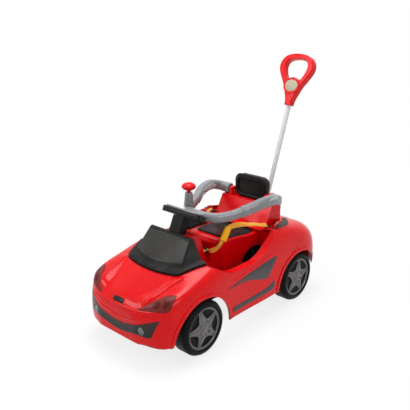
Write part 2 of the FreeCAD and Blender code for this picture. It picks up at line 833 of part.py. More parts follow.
def make_trim(name, side, axle_y):
    """A grey five-spoke trim that clips into the wheel's face."""
    body = new_body(f"{name}_trim")
    disc = S.trim_recess
    face = disc - S.trim_wall
    dish = face + S.trim_dish
    room = S.nut_radius + S.play * 2
    cap = S.cap_dome
    depths = ((disc, room), (disc, S.trim_radius), (face - S.play, S.trim_radius),
              (face - S.play, S.trim_radius - S.trim_lip), (dish - S.play, S.trim_radius - S.trim_lip),
              (face, S.cap_radius * CAP_FOOT_SHARE), (face, S.cap_radius),
              (-cap, S.cap_radius * CAP_TOP_SHARE),
              (-cap, room * 0), (-cap + S.play * 2, room * 0), (-cap + S.play * 2, room))
    corners = [(-side * depth, radius) for depth, radius in depths]
    turned(body, outline(body, f"{name}_trim_outline", "XZ_Plane", corners))
    window = []
    for share, angle in WINDOW_SHARES:
        reach = S.trim_radius * share
        turn = math.radians(angle)
        window.append((reach * math.sin(turn), reach * math.cos(turn)))
    shape = outline(body, f"{name}_window", "YZ_Plane", window)
    hole = pocket(body, shape, S.tyre_width * 2)
    around = body.newObject("PartDesign::PolarPattern", f"{name}_windows")
    around.Originals = [hole]
    around.Axis = (shape, ["N_Axis"])
    around.Occurrences = TRIM_SPOKES
    body.Tip = around
    doc.recompute()
    place(body, side * S.wheel_face_x, axle_y, S.tyre_radius)
    return kept(body, f"{name}_trim")


def axle_nut(name, side, axle_y):
    """A push-on nut at an axle's end, under the trim."""
    start = S.wheel_face_x - S.trim_recess + S.play
    low = start if side == LEFT else -start - S.nut_height
    nut = round_bar(f"{name}_nut_round", S.nut_radius, S.nut_height, (low, axle_y, S.tyre_radius), "X")
    hole_low = low - S.overrun
    hole = round_bar(f"{name}_nut_hole", S.axle_radius, S.nut_height + S.overrun * 2,
                     (hole_low, axle_y, S.tyre_radius), "X")
    return cut(f"{name}_nut", nut, hole)


def axle_tip():
    """How far out an axle's end reaches."""
    return S.wheel_face_x - S.trim_recess + S.play + S.nut_height


def make_wheels():
    """All four wheels with their trims and axle nuts."""
    for side_name, side in SIDES.items():
        make_wheel(f"front_{side_name}", side, S.front_axle_y)
        make_trim(f"front_{side_name}", side, S.front_axle_y)
        nut = axle_nut(f"front_{side_name}", side, S.front_axle_y)
        kept(nut, f"front_{side_name}_axle_nut")
        make_wheel(f"rear_{side_name}", side, rear_axle_y)
        make_trim(f"rear_{side_name}", side, rear_axle_y)
    nuts = [axle_nut(f"rear_{name}", side, rear_axle_y) for name, side in SIDES.items()]
    kept(group("rear_nuts", *nuts), "rear_axle_nuts")


# Chassis and axles

SPINE_FRONT_SHARE = 0.82
TRAY_START_SHARE = 0.64
TRAY_END_SHARE = 0.76
FRONT_POST_SHARE = 0.70
REAR_POST_SHARE = 0.55
# Posts under the dash and the saddle: place along the car, height of the moulding there.
TUB_POST_SHARES = ((0.20, DASH_TOP_SHARE), (0.60, 0.946))


def body_posts(inner):
    """Four posts that carry the outer body, cut to its inside, with their screws and screw rooms."""
    bed = inner.translated(Vec(0, 0, -float(S.seat_gap)))
    front_y = S.front_axle_y - S.nose_overhang * FRONT_POST_SHARE
    rear_y = rear_axle_y + S.tail_overhang * REAR_POST_SHARE
    spots = [(S.spine_half_width - S.post_radius, front_y), (S.post_radius - S.spine_half_width, front_y),
             (S.tray_half_width - S.post_radius * 2, rear_y),
             (S.post_radius * 2 - S.tray_half_width, rear_y)]
    posts = []
    screws = []
    rooms = []
    for number, (x, y) in enumerate(spots):
        bar = round_bar(f"post{number}", S.post_radius, S.deck_height, (x, y, S.floor_height), "Z")
        doc.recompute()
        posts.append(feature(f"post{number}_cut", bar.Shape.common(bed)))
        screws.append(round_bar(f"body_screw{number}", S.screw_radius, S.screw_head,
                                (x, y, S.floor_height), "Z"))
        rooms.append(round_bar(f"screw_room{number}", S.screw_radius + S.running_gap,
                               S.screw_head + S.overrun, (x, y, S.floor_height - S.overrun), "Z"))
    return posts, screws, rooms


def make_chassis(inner):
    """The chassis plate with its posts, and the screws let into its underside."""
    floor = (S.floor_height, floor_top)
    front = S.front_axle_y - S.nose_overhang * SPINE_FRONT_SHARE
    middle = along(TRAY_START_SHARE)
    rear = rear_axle_y + S.tail_overhang * TRAY_END_SHARE
    spine = box("spine", (-S.spine_half_width, S.spine_half_width), (front, middle), floor)
    tray = box("tray", (-S.tray_half_width, S.tray_half_width), (middle, rear), floor)
    posts, screws, rooms = body_posts(inner)
    for number, (y, z) in enumerate(TUB_POST_SHARES):
        top = high(z) - S.tub_wall - S.seat_gap
        for side in (LEFT, RIGHT):
            x = side * (S.spine_half_width - S.post_radius)
            posts.append(round_bar(f"tub_post{number}{side}", S.post_radius, top - S.floor_height,
                                   (x, along(y), S.floor_height), "Z"))
    kept(cut("chassis", fuse("chassis", spine, tray, *posts), *rooms), "chassis_plate")
    kept(group("body_screws", *screws), "body_screws")


def beam_levels():
    """Heights of the front beam's lower and upper plates."""
    low = (floor_top, floor_top + S.beam_plate)
    middle = S.tyre_radius * 2 - low[1] + S.beam_plate * 2
    return low, (middle, middle + S.beam_plate)


def make_front_axle():
    """The front beam with its kingpins."""
    low, top = beam_levels()
    end = S.kingpin_x + S.beam_end_margin
    half = S.beam_depth / 2
    run = (S.front_axle_y - half, S.front_axle_y + half)
    lower = box("beam_lower", (-end, end), run, low)
    upper = box("beam_upper", (-end, end), run, top)
    web_half = S.beam_web / 2
    web_end = S.kingpin_x - S.knuckle_inboard - S.beam_end_margin
    web = box("beam_web", (-web_end, web_end), (S.front_axle_y - web_half, S.front_axle_y + web_half),
              (low[1], top[0]))
    beam = fuse("beam", lower, upper, web)
    pins = []
    holes = []
    for side_name, side in SIDES.items():
        spot = (side * S.kingpin_x, S.front_axle_y)
        length = top[1] - low[0]
        pins.append(round_bar(f"{side_name}_kingpin", S.kingpin_radius, length, (*spot, low[0]), "Z"))
        holes.append(round_bar(f"{side_name}_kingpin_hole", S.kingpin_radius, length + S.overrun * 2,
                               (*spot, low[0] - S.overrun), "Z"))
    kept(cut("beam", beam, *holes), "front_axle_beam")
    kept(group("kingpins", *pins), "kingpins")


def link_level():
    """The tie rod's underside."""
    return beam_levels()[1][0] + S.play


def make_knuckle(side_name, side):
    """A steering knuckle with its stub axle, arm and link pin."""
    low, top = beam_levels()
    name = f"{side_name}_knuckle"
    inner = S.kingpin_x - S.knuckle_inboard
    outer = S.kingpin_x + S.knuckle_outboard
    width = (inner, outer) if side == LEFT else (-outer, -inner)
    half = S.knuckle_depth / 2
    block = box(f"{name}_block", width, (S.front_axle_y - half, S.front_axle_y + half),
                (low[1] + S.play, top[0] - S.play))
    length = axle_tip() - outer
    start = outer if side == LEFT else -axle_tip()
    stub = round_bar(f"{name}_stub", S.axle_radius, length, (start, S.front_axle_y, S.tyre_radius), "X")
    centre = side * S.kingpin_x
    reach = S.front_axle_y - S.steer_arm
    arm_top = top[0] - S.play * 4
    arm = box(f"{name}_arm", (centre - S.arm_width / 2, centre + S.arm_width / 2),
              (reach - S.arm_width / 2, S.front_axle_y - S.play), (arm_top - S.arm_thickness, arm_top))
    pin = round_bar(f"{name}_pin", S.link_pin_radius, link_level() + S.tie_thickness * 2 - arm_top,
                    (centre, reach, arm_top), "Z")
    hole = round_bar(f"{name}_hole", S.kingpin_radius + S.running_gap, top[1],
                     (centre, S.front_axle_y, 0), "Z")
    kept(cut(name, fuse(name, block, stub, arm, pin), hole), name)


def crank_pin_y():
    """Where the crank's pin passes through the tie rod, along the car."""
    drop = S.steering_z - link_level() - S.tie_thickness / 2
    return S.steering_y - drop * tangent(S.steer_tilt) - S.crank_length / cosine(S.steer_tilt)


def make_tie_rod():
    """The tie rod with a slot for each knuckle pin and for the crank pin."""
    level = link_level()
    reach = S.front_axle_y - S.steer_arm
    crank_y = crank_pin_y()
    end = S.kingpin_x + S.tie_margin + S.link_pin_radius
    front = crank_y - S.slot_end_play - S.link_pin_radius - S.tie_margin
    rear = reach + S.slot_end_play + S.link_pin_radius + S.tie_margin
    bar = box("tie_bar", (-end, end), (front, rear), (level, level + S.tie_thickness))
    slots = []
    half = S.link_pin_radius + S.slot_side_play
    spots = ((S.kingpin_x, reach, S.slot_end_play), (-S.kingpin_x, reach, S.slot_end_play),
             (S.kingpin_x * 0, crank_y, S.crank_slot_play))
    for number, (x, y, play) in enumerate(spots):
        run = (y - S.slot_end_play - S.link_pin_radius, y + play + S.link_pin_radius)
        slots.append(box(f"tie_slot{number}", (x - half, x + half), run,
                         (level - S.overrun, level + S.tie_thickness + S.overrun)))
    kept(cut("tie", bar, *slots), "tie_rod")


def make_rear_axle():
    """The rear axle, its bearing blocks and spacers."""
    tip = axle_tip()
    bar = round_bar("rear_axle_bar", S.axle_radius, tip * 2, (-tip, rear_axle_y, S.tyre_radius), "X")
    kept(bar, "rear_axle")
    hub = S.kingpin_x + S.knuckle_outboard
    block_half = S.knuckle_depth / 2
    blocks = []
    spacers = []
    for name, side in SIDES.items():
        outer = S.tray_half_width
        inner = outer - S.knuckle_outboard
        span = (inner, outer) if side == LEFT else (-outer, -inner)
        block = box(f"{name}_bearing", span, (rear_axle_y - block_half, rear_axle_y + block_half),
                    (floor_top, S.tyre_radius + S.knuckle_outboard))
        gap = (outer, hub) if side == LEFT else (-hub, -outer)
        tube = round_bar(f"{name}_spacer_round", S.nut_radius, hub - outer,
                         (gap[0], rear_axle_y, S.tyre_radius), "X")
        hole = round_bar(f"{name}_axle_hole", S.axle_radius, tip * 2, (-tip, rear_axle_y, S.tyre_radius), "X")
        blocks.append(cut(f"{name}_bearing", block, hole))
        spacers.append(cut(f"{name}_spacer", tube, hole))
    kept(group("rear_bearings", *blocks), "rear_bearing_blocks")
    kept(group("rear_spacers", *spacers), "rear_axle_spacers")


# Steering

STEERING_SHARE = 0.2137
# Half of the wheel's outline: half-width shares, then shares of its reach in front or behind.
YOKE_FRONT_SHARES = ((0.84, 1.0), (1.0, 0.4))
YOKE_REAR_SHARES = ((1.0, 0.45), (0.87, 1.0), (0.70, 1.0), (0.55, 0.6))
YOKE_PLATE_SHARE = 0.86
S.steering_y = along(STEERING_SHARE)
S.steering_z = S.deck_height + S.steering_rise


def steer_point(x, forward, up):
    """A point given in the steering wheel's own frame."""
    tilt_sine = sine(S.steer_tilt)
    tilt_cosine = cosine(S.steer_tilt)
    y = S.steering_y + forward * tilt_cosine + up * tilt_sine
    z = S.steering_z - forward * tilt_sine + up * tilt_cosine
    return x, y, z


def shaft_foot():
    """The shaft's lower end, along its axis from the wheel's centre."""
    bearing = beam_levels()[1][1] + S.bearing_height / 2
    return (bearing - S.steering_z) / cosine(S.steer_tilt)


def tilted_box(name, x, y, z):
    """A box in the steering wheel's own frame."""
    obj = doc.addObject("Part::Box", name)
    for prop, (low, top) in zip(("Length", "Width", "Height"), (x, y, z)):
        bind(obj, prop, top - low)
    place(obj, *steer_point(x[0], y[0], z[0]))
    return lean(obj, S.steer_tilt)


def tilted_bar(name, radius, x, y, z):
    """A cylinder along the steering axis."""
    obj = doc.addObject("Part::Cylinder", name)
    bind(obj, "Radius", radius)
    bind(obj, "Height", z[1] - z[0])
    place(obj, *steer_point(x, y, z[0]))
    return lean(obj, S.steer_tilt)


def make_steering():
    """The shaft with its crank, and the dark wheel with its grey top plate."""
    nothing = S.play * 0
    foot = shaft_foot()
    top = S.yoke_thickness / 2
    shaft = tilted_bar("shaft", S.shaft_radius, 0, nothing, (foot, top))
    crank_low = foot + S.bearing_height + S.crank_above_bearing
    half = S.crank_width / 2
    crank = tilted_box("crank", (-half, half), (-S.crank_length - half, half),
                       (crank_low, crank_low + S.crank_thickness))
    low = S.link_pin_radius * tangent(S.steer_tilt) + S.tie_thickness
    pin_drop = link_level() - low - S.steering_z - S.crank_length * sine(S.steer_tilt)
    pin_foot = pin_drop / cosine(S.steer_tilt)
    pin = tilted_bar("crank_pin", S.link_pin_radius, 0, -S.crank_length, (pin_foot, crank_low))
    kept(fuse("steering_shaft", shaft, crank, pin), "steering_shaft")
    body = new_body("steering_wheel")
    reach = S.yoke_half_width
    corners = [(reach * x, -S.yoke_front * y) for x, y in YOKE_FRONT_SHARES]
    corners += [(reach * x, S.yoke_rear * y) for x, y in YOKE_REAR_SHARES]
    corners += [(-x, y) for x, y in reversed(corners)]
    pad(body, outline(body, "yoke_outline", "XY_Plane", corners), S.yoke_thickness)
    lean(place(body, *steer_point(0, nothing, nothing)), S.steer_tilt)
    bore = tilted_bar("yoke_bore", S.shaft_radius, 0, nothing, (-S.yoke_thickness, S.yoke_thickness))
    kept(cut("steering_wheel", body, bore), "steering_wheel")
    plate = new_body("steering_top")
    corners = [(x * YOKE_PLATE_SHARE, y * YOKE_PLATE_SHARE) for x, y in corners]
    pad(plate, outline(plate, "top_outline", "XY_Plane", corners), S.yoke_plate)
    lean(place(plate, *steer_point(0, nothing, top + S.yoke_plate / 2)), S.steer_tilt)
    kept(plate, "steering_top_plate")


def make_column():
    """The tower on the dash, the lower bearing and the guard's bracket."""
    dash_top = high(DASH_TOP_SHARE)
    gap = S.yoke_thickness / 2 + S.play
    half = S.tower_half_width
    deep = S.tower_half_depth
    length = S.steering_rise
    solid = tilted_box("tower_solid", (-half, half), (-deep, deep), (-length, -gap))
    wall = S.tower_wall
    hollow = tilted_box("tower_hollow", (wall - half, half - wall), (wall - deep, deep - wall),
                        (-length - S.overrun, -gap - wall))
    bore = tilted_bar("tower_bore", S.shaft_radius + S.running_gap, 0, S.play * 0, (-length, S.play * 0))
    under = box("tower_under", (-length, length), (S.steering_y - length * 2, S.steering_y + length),
                (dash_top - length, dash_top))
    tower = cut("tower", solid, hollow, bore, under)
    kept(tower, "column_tower")
    low, top = beam_levels()
    bearing_half = S.bearing_half
    foot_y = steer_point(0, S.play * 0, shaft_foot())[1]
    block = box("bearing_block", (-bearing_half, bearing_half),
                (foot_y - bearing_half, foot_y + bearing_half), (top[1], top[1] + S.bearing_height))
    foot = shaft_foot()
    hole = tilted_bar("bearing_hole", S.shaft_radius + S.running_gap, 0, S.play * 0,
                      (foot, foot + S.bearing_height * 2))
    kept(cut("bearing", block, hole), "shaft_bearing")
    level = guard_height(GUARD_SHARES[0][2]) - S.guard_depth / 2 - S.seat_gap
    reach = along(GUARD_SHARES[0][1]) + S.guard_width / 2
    plate = box("bracket_plate", (-S.bracket_half_width, S.bracket_half_width), (S.steering_y, reach),
                (level - S.bracket_thickness, level))
    room = tilted_box("bracket_room", (-half, half), (-deep, deep), (-length, -gap + S.overrun))
    kept(cut("bracket", plate, room), "guard_bracket")


# Guard ring

# Half of the ring's centre line: half-width shares, places along the car, and heights above
# the ring's rear ends as shares of its climb.
GUARD_SHARES = ((0.0, 0.350, -0.29), (0.22, 0.356, -0.29), (0.42, 0.386, -0.39), (0.56, 0.445, -0.39),
                (0.67, 0.512, -0.24), (0.78, 0.585, 0.07), (0.90, 0.655, 0.47), (0.965, 0.73, 0.71),
                (1.0, 0.80, 0.71), (0.985, 0.852, 0.52), (0.93, 0.890, 0.28), (0.81, 0.913, 0.075),
                (0.67, 0.917, 0.06))
GUARD_PEG_SHARES = (0.74, 0.916)


def guard_height(share):
    """A height of the ring's centre line."""
    end = S.deck_height + S.backrest_rise + S.seat_gap + S.guard_depth / 2
    return end + S.guard_climb * share


def guard_points():
    """The ring's whole centre line from the left end round the front to the right end."""
    half = [vec(S.guard_half_width * x, along(y), guard_height(z)) for x, y, z in GUARD_SHARES]
    return half[::-1] + [Vec(-p.x, p.y, p.z) for p in half[1:]]


def rounded_section(centre, across, width, depth, radius):
    """A rounded rectangle that stands upright across the ring."""
    half_x = width / 2
    half_z = depth / 2
    up = Vec(0, 0, 1)

    def at(x, z):
        return centre + across * x + up * z

    edges = []
    corners = ((1, 1), (-1, 1), (-1, -1), (1, -1))
    turn = math.sqrt(0.5)
    for index, (sx, sz) in enumerate(corners):
        hub = (sx * (half_x - radius), sz * (half_z - radius))
        first, last = ((sx, 0), (0, sz)) if index % 2 == 0 else ((0, sz), (sx, 0))
        ends = [at(hub[0] + x * radius, hub[1] + z * radius) for x, z in (first, last)]
        middle = at(hub[0] + sx * radius * turn, hub[1] + sz * radius * turn)
        if edges:
            edges.append(Part.makeLine(edges[-1].Vertexes[-1].Point, ends[0]))
        edges.append(Part.Arc(ends[0], middle, ends[1]).toShape())
    edges.append(Part.makeLine(edges[-1].Vertexes[-1].Point, edges[0].Vertexes[0].Point))
    return Part.Wire(edges)


def make_guard():
    """The grey guard ring, one bar bent round the child."""
    points = guard_points()
    wires = []
    for index, point in enumerate(points):
        before = points[max(index - 1, 0)]
        after = points[min(index + 1, len(points) - 1)]
        run = after - before
        across = Vec(run.y, -run.x, 0).normalize()
        wires.append(rounded_section(point, across, float(S.guard_width), float(S.guard_depth),
                                     float(S.guard_round)))
    ring = feature("guard_bar", Part.makeLoft(wires, True, False))
    pegs = [guard_peg_bar(side, S.guard_peg_radius, S.guard_depth / 2, "guard") for side in (LEFT, RIGHT)]
    return kept(fuse("guard", ring, *pegs), "guard_ring")


def guard_peg_bar(side, radius, above, name):
    """One of the pegs under the ring's rear ends, or a hole for it."""
    x, y = GUARD_PEG_SHARES
    top = guard_height(0) - S.guard_depth / 2
    return round_bar(f"{name}_peg{side}", radius, S.guard_peg_length + above,
                     (side * S.guard_half_width * x, along(y), top - S.guard_peg_length), "Z")


def post_place():
    """Where the toy post stands on the ring's right bar."""
    before, after = GUARD_SHARES[2:4]
    share = (float(S.post_x) / float(S.guard_half_width) - before[0]) / (after[0] - before[0])
    y = before[1] + share * (after[1] - before[1])
    z = before[2] + share * (after[2] - before[2])
    return along(y), guard_height(z) + S.guard_depth / 2


def make_horn(ring):
    """The toy post, saddled on the ring, with its sprung red knob."""
    y, foot = post_place()
    x = -S.post_x
    saddle = S.guard_depth / 3
    cone = doc.addObject("Part::Cone", "horn_cone")
    bind(cone, "Radius1", S.horn_base_radius)
    bind(cone, "Radius2", S.horn_top_radius)
    bind(cone, "Height", S.horn_height + saddle)
    place(cone, x, y, foot + S.seat_gap - saddle)
    top = foot + S.seat_gap + S.horn_height
    bore = round_bar("horn_bore", S.knob_stem_radius + S.running_gap, S.horn_bore_depth + S.overrun,
                     (x, y, top - S.horn_bore_depth), "Z")
    doc.recompute()
    bed = feature("horn_bed", ring.Shape.translated(Vec(0, 0, float(S.seat_gap))))
    kept(cut("horn_post", cone, bore, bed), "horn_post")
    stem_foot = top - S.horn_bore_depth + S.knob_travel + S.play
    under = top + S.knob_travel + S.play
    stem = round_bar("knob_stem", S.knob_stem_radius, under - stem_foot + S.knob_height / 2,
                     (x, y, stem_foot), "Z")
    ball = doc.addObject("Part::Ellipsoid", "knob_ball")
    bind(ball, "Radius1", S.knob_height / 2)
    bind(ball, "Radius2", S.knob_radius)
    bind(ball, "Radius3", S.knob_radius)
    place(ball, x, y, under + S.knob_height / 2)
    kept(fuse("horn_knob", stem, ball), "horn_knob")


# Push rod and handle

ROD_SHARES = (1.087, 0.966)
S.rod_y = along(ROD_SHARES[0])
S.rod_z = high(ROD_SHARES[1]) + S.collar_height


def rod_point(up):
    """A point on the push rod's axis, measured from the collar's top."""
    return S.rod_z * 0, S.rod_y + up * sine(S.rod_tilt), S.rod_z + up * cosine(S.rod_tilt)


def rod_piece(name, radius, low, top):
    """A cylinder on the push rod's axis."""
    obj = doc.addObject("Part::Cylinder", name)
    bind(obj, "Radius", radius)
    bind(obj, "Height", top - low)
    place(obj, *rod_point(low))
    return lean(obj, S.rod_tilt)


# Half of the handle's outline and of its finger opening: half-width shares, and shares of
# the handle's length from the neck.
HANDLE_SHARES = ((0.18, 0.0), (0.215, 0.12), (0.42, 0.32), (0.80, 0.55), (1.0, 0.76), (0.92, 0.92),
                 (0.58, 0.988), (0.0, 1.0))
HANDLE_SCREW_SHARES = (0.30, 0.46)
OPENING_SHARES = ((0.0, 0.53), (0.40, 0.53), (0.60, 0.64), (0.72, 0.78), (0.56, 0.875), (0.0, 0.895))


def handle_face(shares):
    """A closed face in the handle's own plane, at the neck."""
    half = float(S.handle_half_width)
    length = float(S.handle_length)
    side = [Vec(x * half, 0, z * length) for x, z in shares]
    other = [Vec(-p.x, 0, p.z) for p in reversed(side)]
    if side[0].x == 0:
        curve = Part.BSplineCurve()
        curve.interpolate(Points=side + other[1:-1], PeriodicFlag=True)
        return Part.Face(Part.Wire(curve.toShape()))
    curve = Part.BSplineCurve()
    curve.interpolate(Points=side + other[1:])
    return Part.Face(Part.Wire([curve.toShape(), Part.makeLine(other[-1], side[0])]))


def make_handle():
    """The push rod, its socket and collar, and the handle's two halves."""
    rod = rod_piece("push_rod_bar", S.rod_radius, -S.rod_insert, S.rod_reach + S.rod_grip)
    kept(rod, "push_rod")
    bore = rod_piece("socket_bore", S.rod_radius + S.running_gap, -S.rod_insert * 2, S.rod_reach)
    wall = rod_piece("socket_wall", S.rod_radius + S.socket_wall - S.seat_gap, -S.rod_insert * 2,
                     S.collar_height * 0)
    under = box("socket_under", (-S.collar_radius, S.collar_radius),
                (rear_axle_y - S.wheelbase, rear_axle_y + S.wheelbase), (-S.deck_height, floor_top))
    kept(cut("socket", wall, bore, under), "rod_socket")
    disc = rod_piece("collar_disc", S.collar_radius, -S.collar_height * 3, S.collar_height * 0)
    bed = feature("collar_bed", body_outer.translated(Vec(0, 0, float(S.seat_gap))))
    sleeve = rod_piece("collar_room", S.rod_radius + S.socket_wall, -S.rod_insert, S.rod_reach)
    kept(cut("collar", disc, bed, sleeve), "rod_collar")
    plate = handle_face(HANDLE_SHARES).cut(handle_face(OPENING_SHARES))
    half = float(S.handle_thickness / 2)
    turn = FreeCAD.Rotation(Vec(-1, 0, 0), float(S.rod_tilt))
    start = vec(*rod_point(S.rod_reach))
    bar = rod_bar(float(S.rod_radius), S.rod_reach - S.overrun, S.rod_reach + S.rod_grip)
    room = feature("handle_bore", bar)
    for name, way in (("handle_front", -1), ("handle_rear", 1)):
        shell = feature(f"{name}_solid", plate.extrude(Vec(0, way * half, 0)))
        shell.Placement = FreeCAD.Placement(start, turn)
        kept(cut(name, shell, room), name)


def make_handle_screws():
    """Two screw heads let into the back of the handle."""
    screws = []
    for number, share in enumerate(HANDLE_SCREW_SHARES):
        up = S.rod_reach + S.handle_length * share
        x, y, z = rod_point(up)
        out = S.handle_thickness / 2
        head = doc.addObject("Part::Cylinder", f"handle_screw{number}")
        bind(head, "Radius", S.handle_screw_radius)
        bind(head, "Height", S.screw_head)
        place(head, x, y + out * cosine(S.rod_tilt), z - out * sine(S.rod_tilt))
        lean(head, S.rod_tilt + 90)
        screws.append(head)
    kept(group("handle_screws", *screws), "handle_screws")


# Lap belt

# The left strap's centre line: half-width shares of the saddle, places along the car and
# heights as shares of the deck; the right strap lies lower on the seat.
LEFT_STRAP_SHARES = ((0.55, 0.343, 0.875), (0.76, 0.347, 0.88), (0.93, 0.374, 0.91), (1.08, 0.408, 1.01),
                     (1.10, 0.455, 1.12), (1.14, 0.52, 1.14), (1.30, 0.65, 1.10), (1.62, 0.772, 1.054))
RIGHT_STRAP_SHARES = ((0.55, 0.343, 0.875), (0.76, 0.347, 0.88), (0.93, 0.374, 0.91), (1.09, 0.418, 0.99),
                      (1.15, 0.50, 1.045), (1.24, 0.60, 1.055), (1.40, 0.70, 1.052), (1.62, 0.772, 1.055))
POMMEL_ANCHOR_SHARES = ((0.345, 0.3595), (0.83, 0.89))
POMMEL_ANCHOR_SHARE = 0.9
BUCKLE_SHARES = (1.09, 0.436, 1.07)
REAR_ANCHOR_SHARE = 0.80


def strap_points(shares, side):
    """A strap's centre line."""
    return [vec(S.saddle_half_width * x * side, along(y), high(z)) for x, y, z in shares]


def make_strap(shares, side):
    """One strap of webbing as a thin closed band."""
    points = strap_points(shares, side)
    half = float(S.strap_width / 2)
    thick = float(S.strap_thickness / 2)
    wires = []
    for index, point in enumerate(points):
        before = points[max(index - 1, 0)]
        after = points[min(index + 1, len(points) - 1)]
        run = (after - before).normalize()
        flat = run.cross(Vec(side, 0, 0)).normalize()
        out = flat.cross(run)
        corners = [point + flat * a * half + out * b * thick for a, b in ((1, 1), (-1, 1), (-1, -1), (1, -1))]
        wires.append(polygon(corners))
    return Part.makeLoft(wires, True, True)


def buckle_block(name, gap):
    """The buckle's block along the rising strap, or the room for it."""
    x, y, z = BUCKLE_SHARES
    block = doc.addObject("Part::Box", name)
    length = S.buckle_length + gap * 2
    width = S.buckle_width + gap * 2
    thickness = S.buckle_thickness + gap * 2
    bind(block, "Length", thickness)
    bind(block, "Width", width)
    bind(block, "Height", length)
    tilt_sine = sine(S.buckle_lean) / 2
    tilt_cosine = cosine(S.buckle_lean) / 2
    place(block, S.saddle_half_width * x - thickness / 2,
          along(y) - width * tilt_cosine - length * tilt_sine,
          high(z) + width * tilt_sine - length * tilt_cosine)
    return lean(block, S.buckle_lean)


def make_belt(outer):
    """Both straps with the buckle, the pommel anchor and the rear anchors."""
    kept(buckle_block("buckle", S.running_gap * 0), "belt_buckle")
    room = buckle_block("buckle_room", S.running_gap)
    strap = feature("left_strap", make_strap(LEFT_STRAP_SHARES, LEFT))
    kept(cut("left_strap", strap, room), "belt_left")
    kept(feature("right_strap", make_strap(RIGHT_STRAP_SHARES, RIGHT)), "belt_right")
    run, rise = POMMEL_ANCHOR_SHARES
    half = S.pommel_half_width * POMMEL_ANCHOR_SHARE
    block = box("pommel_block", (-half, half), (along(run[0]), along(run[1])),
                (high(rise[0]), high(rise[1])))
    kept(block, "pommel_anchor")
    bed = feature("anchor_bed", outer.translated(Vec(0, 0, float(S.seat_gap))))
    anchors = []
    for side in (LEFT, RIGHT):
        spot = side * (S.backrest_half_width + S.anchor_radius + S.strap_thickness)
        disc = round_bar(f"rear_anchor{side}", S.anchor_radius, S.anchor_thickness * 2,
                         (spot, along(REAR_ANCHOR_SHARE), S.deck_height - S.anchor_thickness), "Z")
        anchors.append(cut(f"rear_anchor{side}", disc, bed))
    kept(group("rear_anchors", *anchors), "rear_belt_anchors")


body_outer = body_loft(0, 0)
body_inner = body_loft(float(S.body_wall), float(S.sill_height / 2))
make_body_shell(body_outer, body_inner)
make_cowl(body_outer)
make_tub()
make_seat_panel()
make_backrest(body_outer)
make_headrest()
make_wheels()
make_chassis(body_inner)
make_front_axle()
for knuckle_side, knuckle_sign in SIDES.items():
    make_knuckle(knuckle_side, knuckle_sign)
make_tie_rod()
make_rear_axle()
make_steering()
make_column()
make_horn(make_guard())
make_handle()
make_handle_screws()
make_belt(body_outer)

doc.recompute()
for item in doc.Objects:
    if "Invalid" in item.State or "Error" in item.State:
        raise RuntimeError(f"{item.Label}: {item.State}")
for part in PARTS:
    if part.Shape.isNull() or not part.Shape.isValid() or not part.Shape.Solids:
        raise RuntimeError(f"{part.Label} has no sound shape")
for part in PARTS:
    part.Shape.exportStep(f"parts/{part.Label}.step")
    print(part.Label, len(part.Shape.Solids), part.Shape.BoundBox)
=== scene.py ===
"""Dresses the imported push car: films, lamps, vents, webbing and finishes over its CAD frame."""

import json
import logging
import math
from contextlib import contextmanager
from dataclasses import dataclass, field
from enum import Enum
from typing import Callable, ClassVar, Iterator, NamedTuple, Sequence

import bpy
from mathutils import Matrix, Vector

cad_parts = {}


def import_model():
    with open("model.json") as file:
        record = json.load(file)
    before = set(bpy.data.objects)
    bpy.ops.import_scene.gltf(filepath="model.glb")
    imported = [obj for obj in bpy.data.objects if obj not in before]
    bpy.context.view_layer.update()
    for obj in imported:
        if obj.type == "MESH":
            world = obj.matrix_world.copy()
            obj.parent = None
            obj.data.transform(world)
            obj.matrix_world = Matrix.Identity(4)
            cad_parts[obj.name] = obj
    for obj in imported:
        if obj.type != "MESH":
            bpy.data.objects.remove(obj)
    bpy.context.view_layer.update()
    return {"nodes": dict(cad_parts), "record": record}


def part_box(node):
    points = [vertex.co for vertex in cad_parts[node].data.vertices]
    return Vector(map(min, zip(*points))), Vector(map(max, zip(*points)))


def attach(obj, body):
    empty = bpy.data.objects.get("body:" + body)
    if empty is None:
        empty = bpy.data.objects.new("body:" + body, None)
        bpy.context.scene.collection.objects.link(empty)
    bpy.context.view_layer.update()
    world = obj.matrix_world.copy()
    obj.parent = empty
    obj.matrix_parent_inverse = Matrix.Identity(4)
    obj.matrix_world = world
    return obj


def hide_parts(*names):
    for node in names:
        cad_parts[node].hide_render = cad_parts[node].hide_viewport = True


LOG = logging.getLogger("push_car")
MM = 0.001
MERGE_REACH = 1e-6
RUN_STEP = 0.004
WHITE = (1.0, 1.0, 1.0, 1.0)
Point = tuple[float, float]
Place = tuple[float, float, float]
Colour = tuple[float, float, float]
Piece = bpy.types.Object
Node = bpy.types.Node
Socket = bpy.types.NodeSocket
Tree = bpy.types.NodeTree
Material = bpy.types.Material


def clear_selection() -> None:
    """Leaves object mode with nothing selected."""
    if bpy.context.object and bpy.context.object.mode != "OBJECT":
        bpy.ops.object.mode_set(mode="OBJECT")
    bpy.ops.object.select_all(action="DESELECT")


def take(piece: Piece) -> None:
    """Selects one piece alone and makes it active."""
    clear_selection()
    piece.select_set(True)
    bpy.context.view_layer.objects.active = piece


def named(name: str) -> Piece:
    """Names the piece that was just added, and returns it."""
    piece = bpy.context.active_object
    piece.name = name
    piece.data.name = name
    return piece


def settle(piece: Piece) -> None:
    """Puts a piece's place, turn and size into its mesh."""
    take(piece)
    bpy.ops.object.transform_apply(location=True, rotation=True, scale=True)


def add_modifier(piece: Piece, kind: str, **settings: object) -> None:
    """Adds a modifier with its settings and applies it.

    Args:
        piece: The mesh object to change.
        kind: Blender's name for the modifier's type.
        settings: The modifier's own properties.
    """
    take(piece)
    modifier = piece.modifiers.new(kind.lower(), kind)
    for key, value in settings.items():
        setattr(modifier, key, value)
    bpy.ops.object.modifier_apply(modifier=modifier.name)


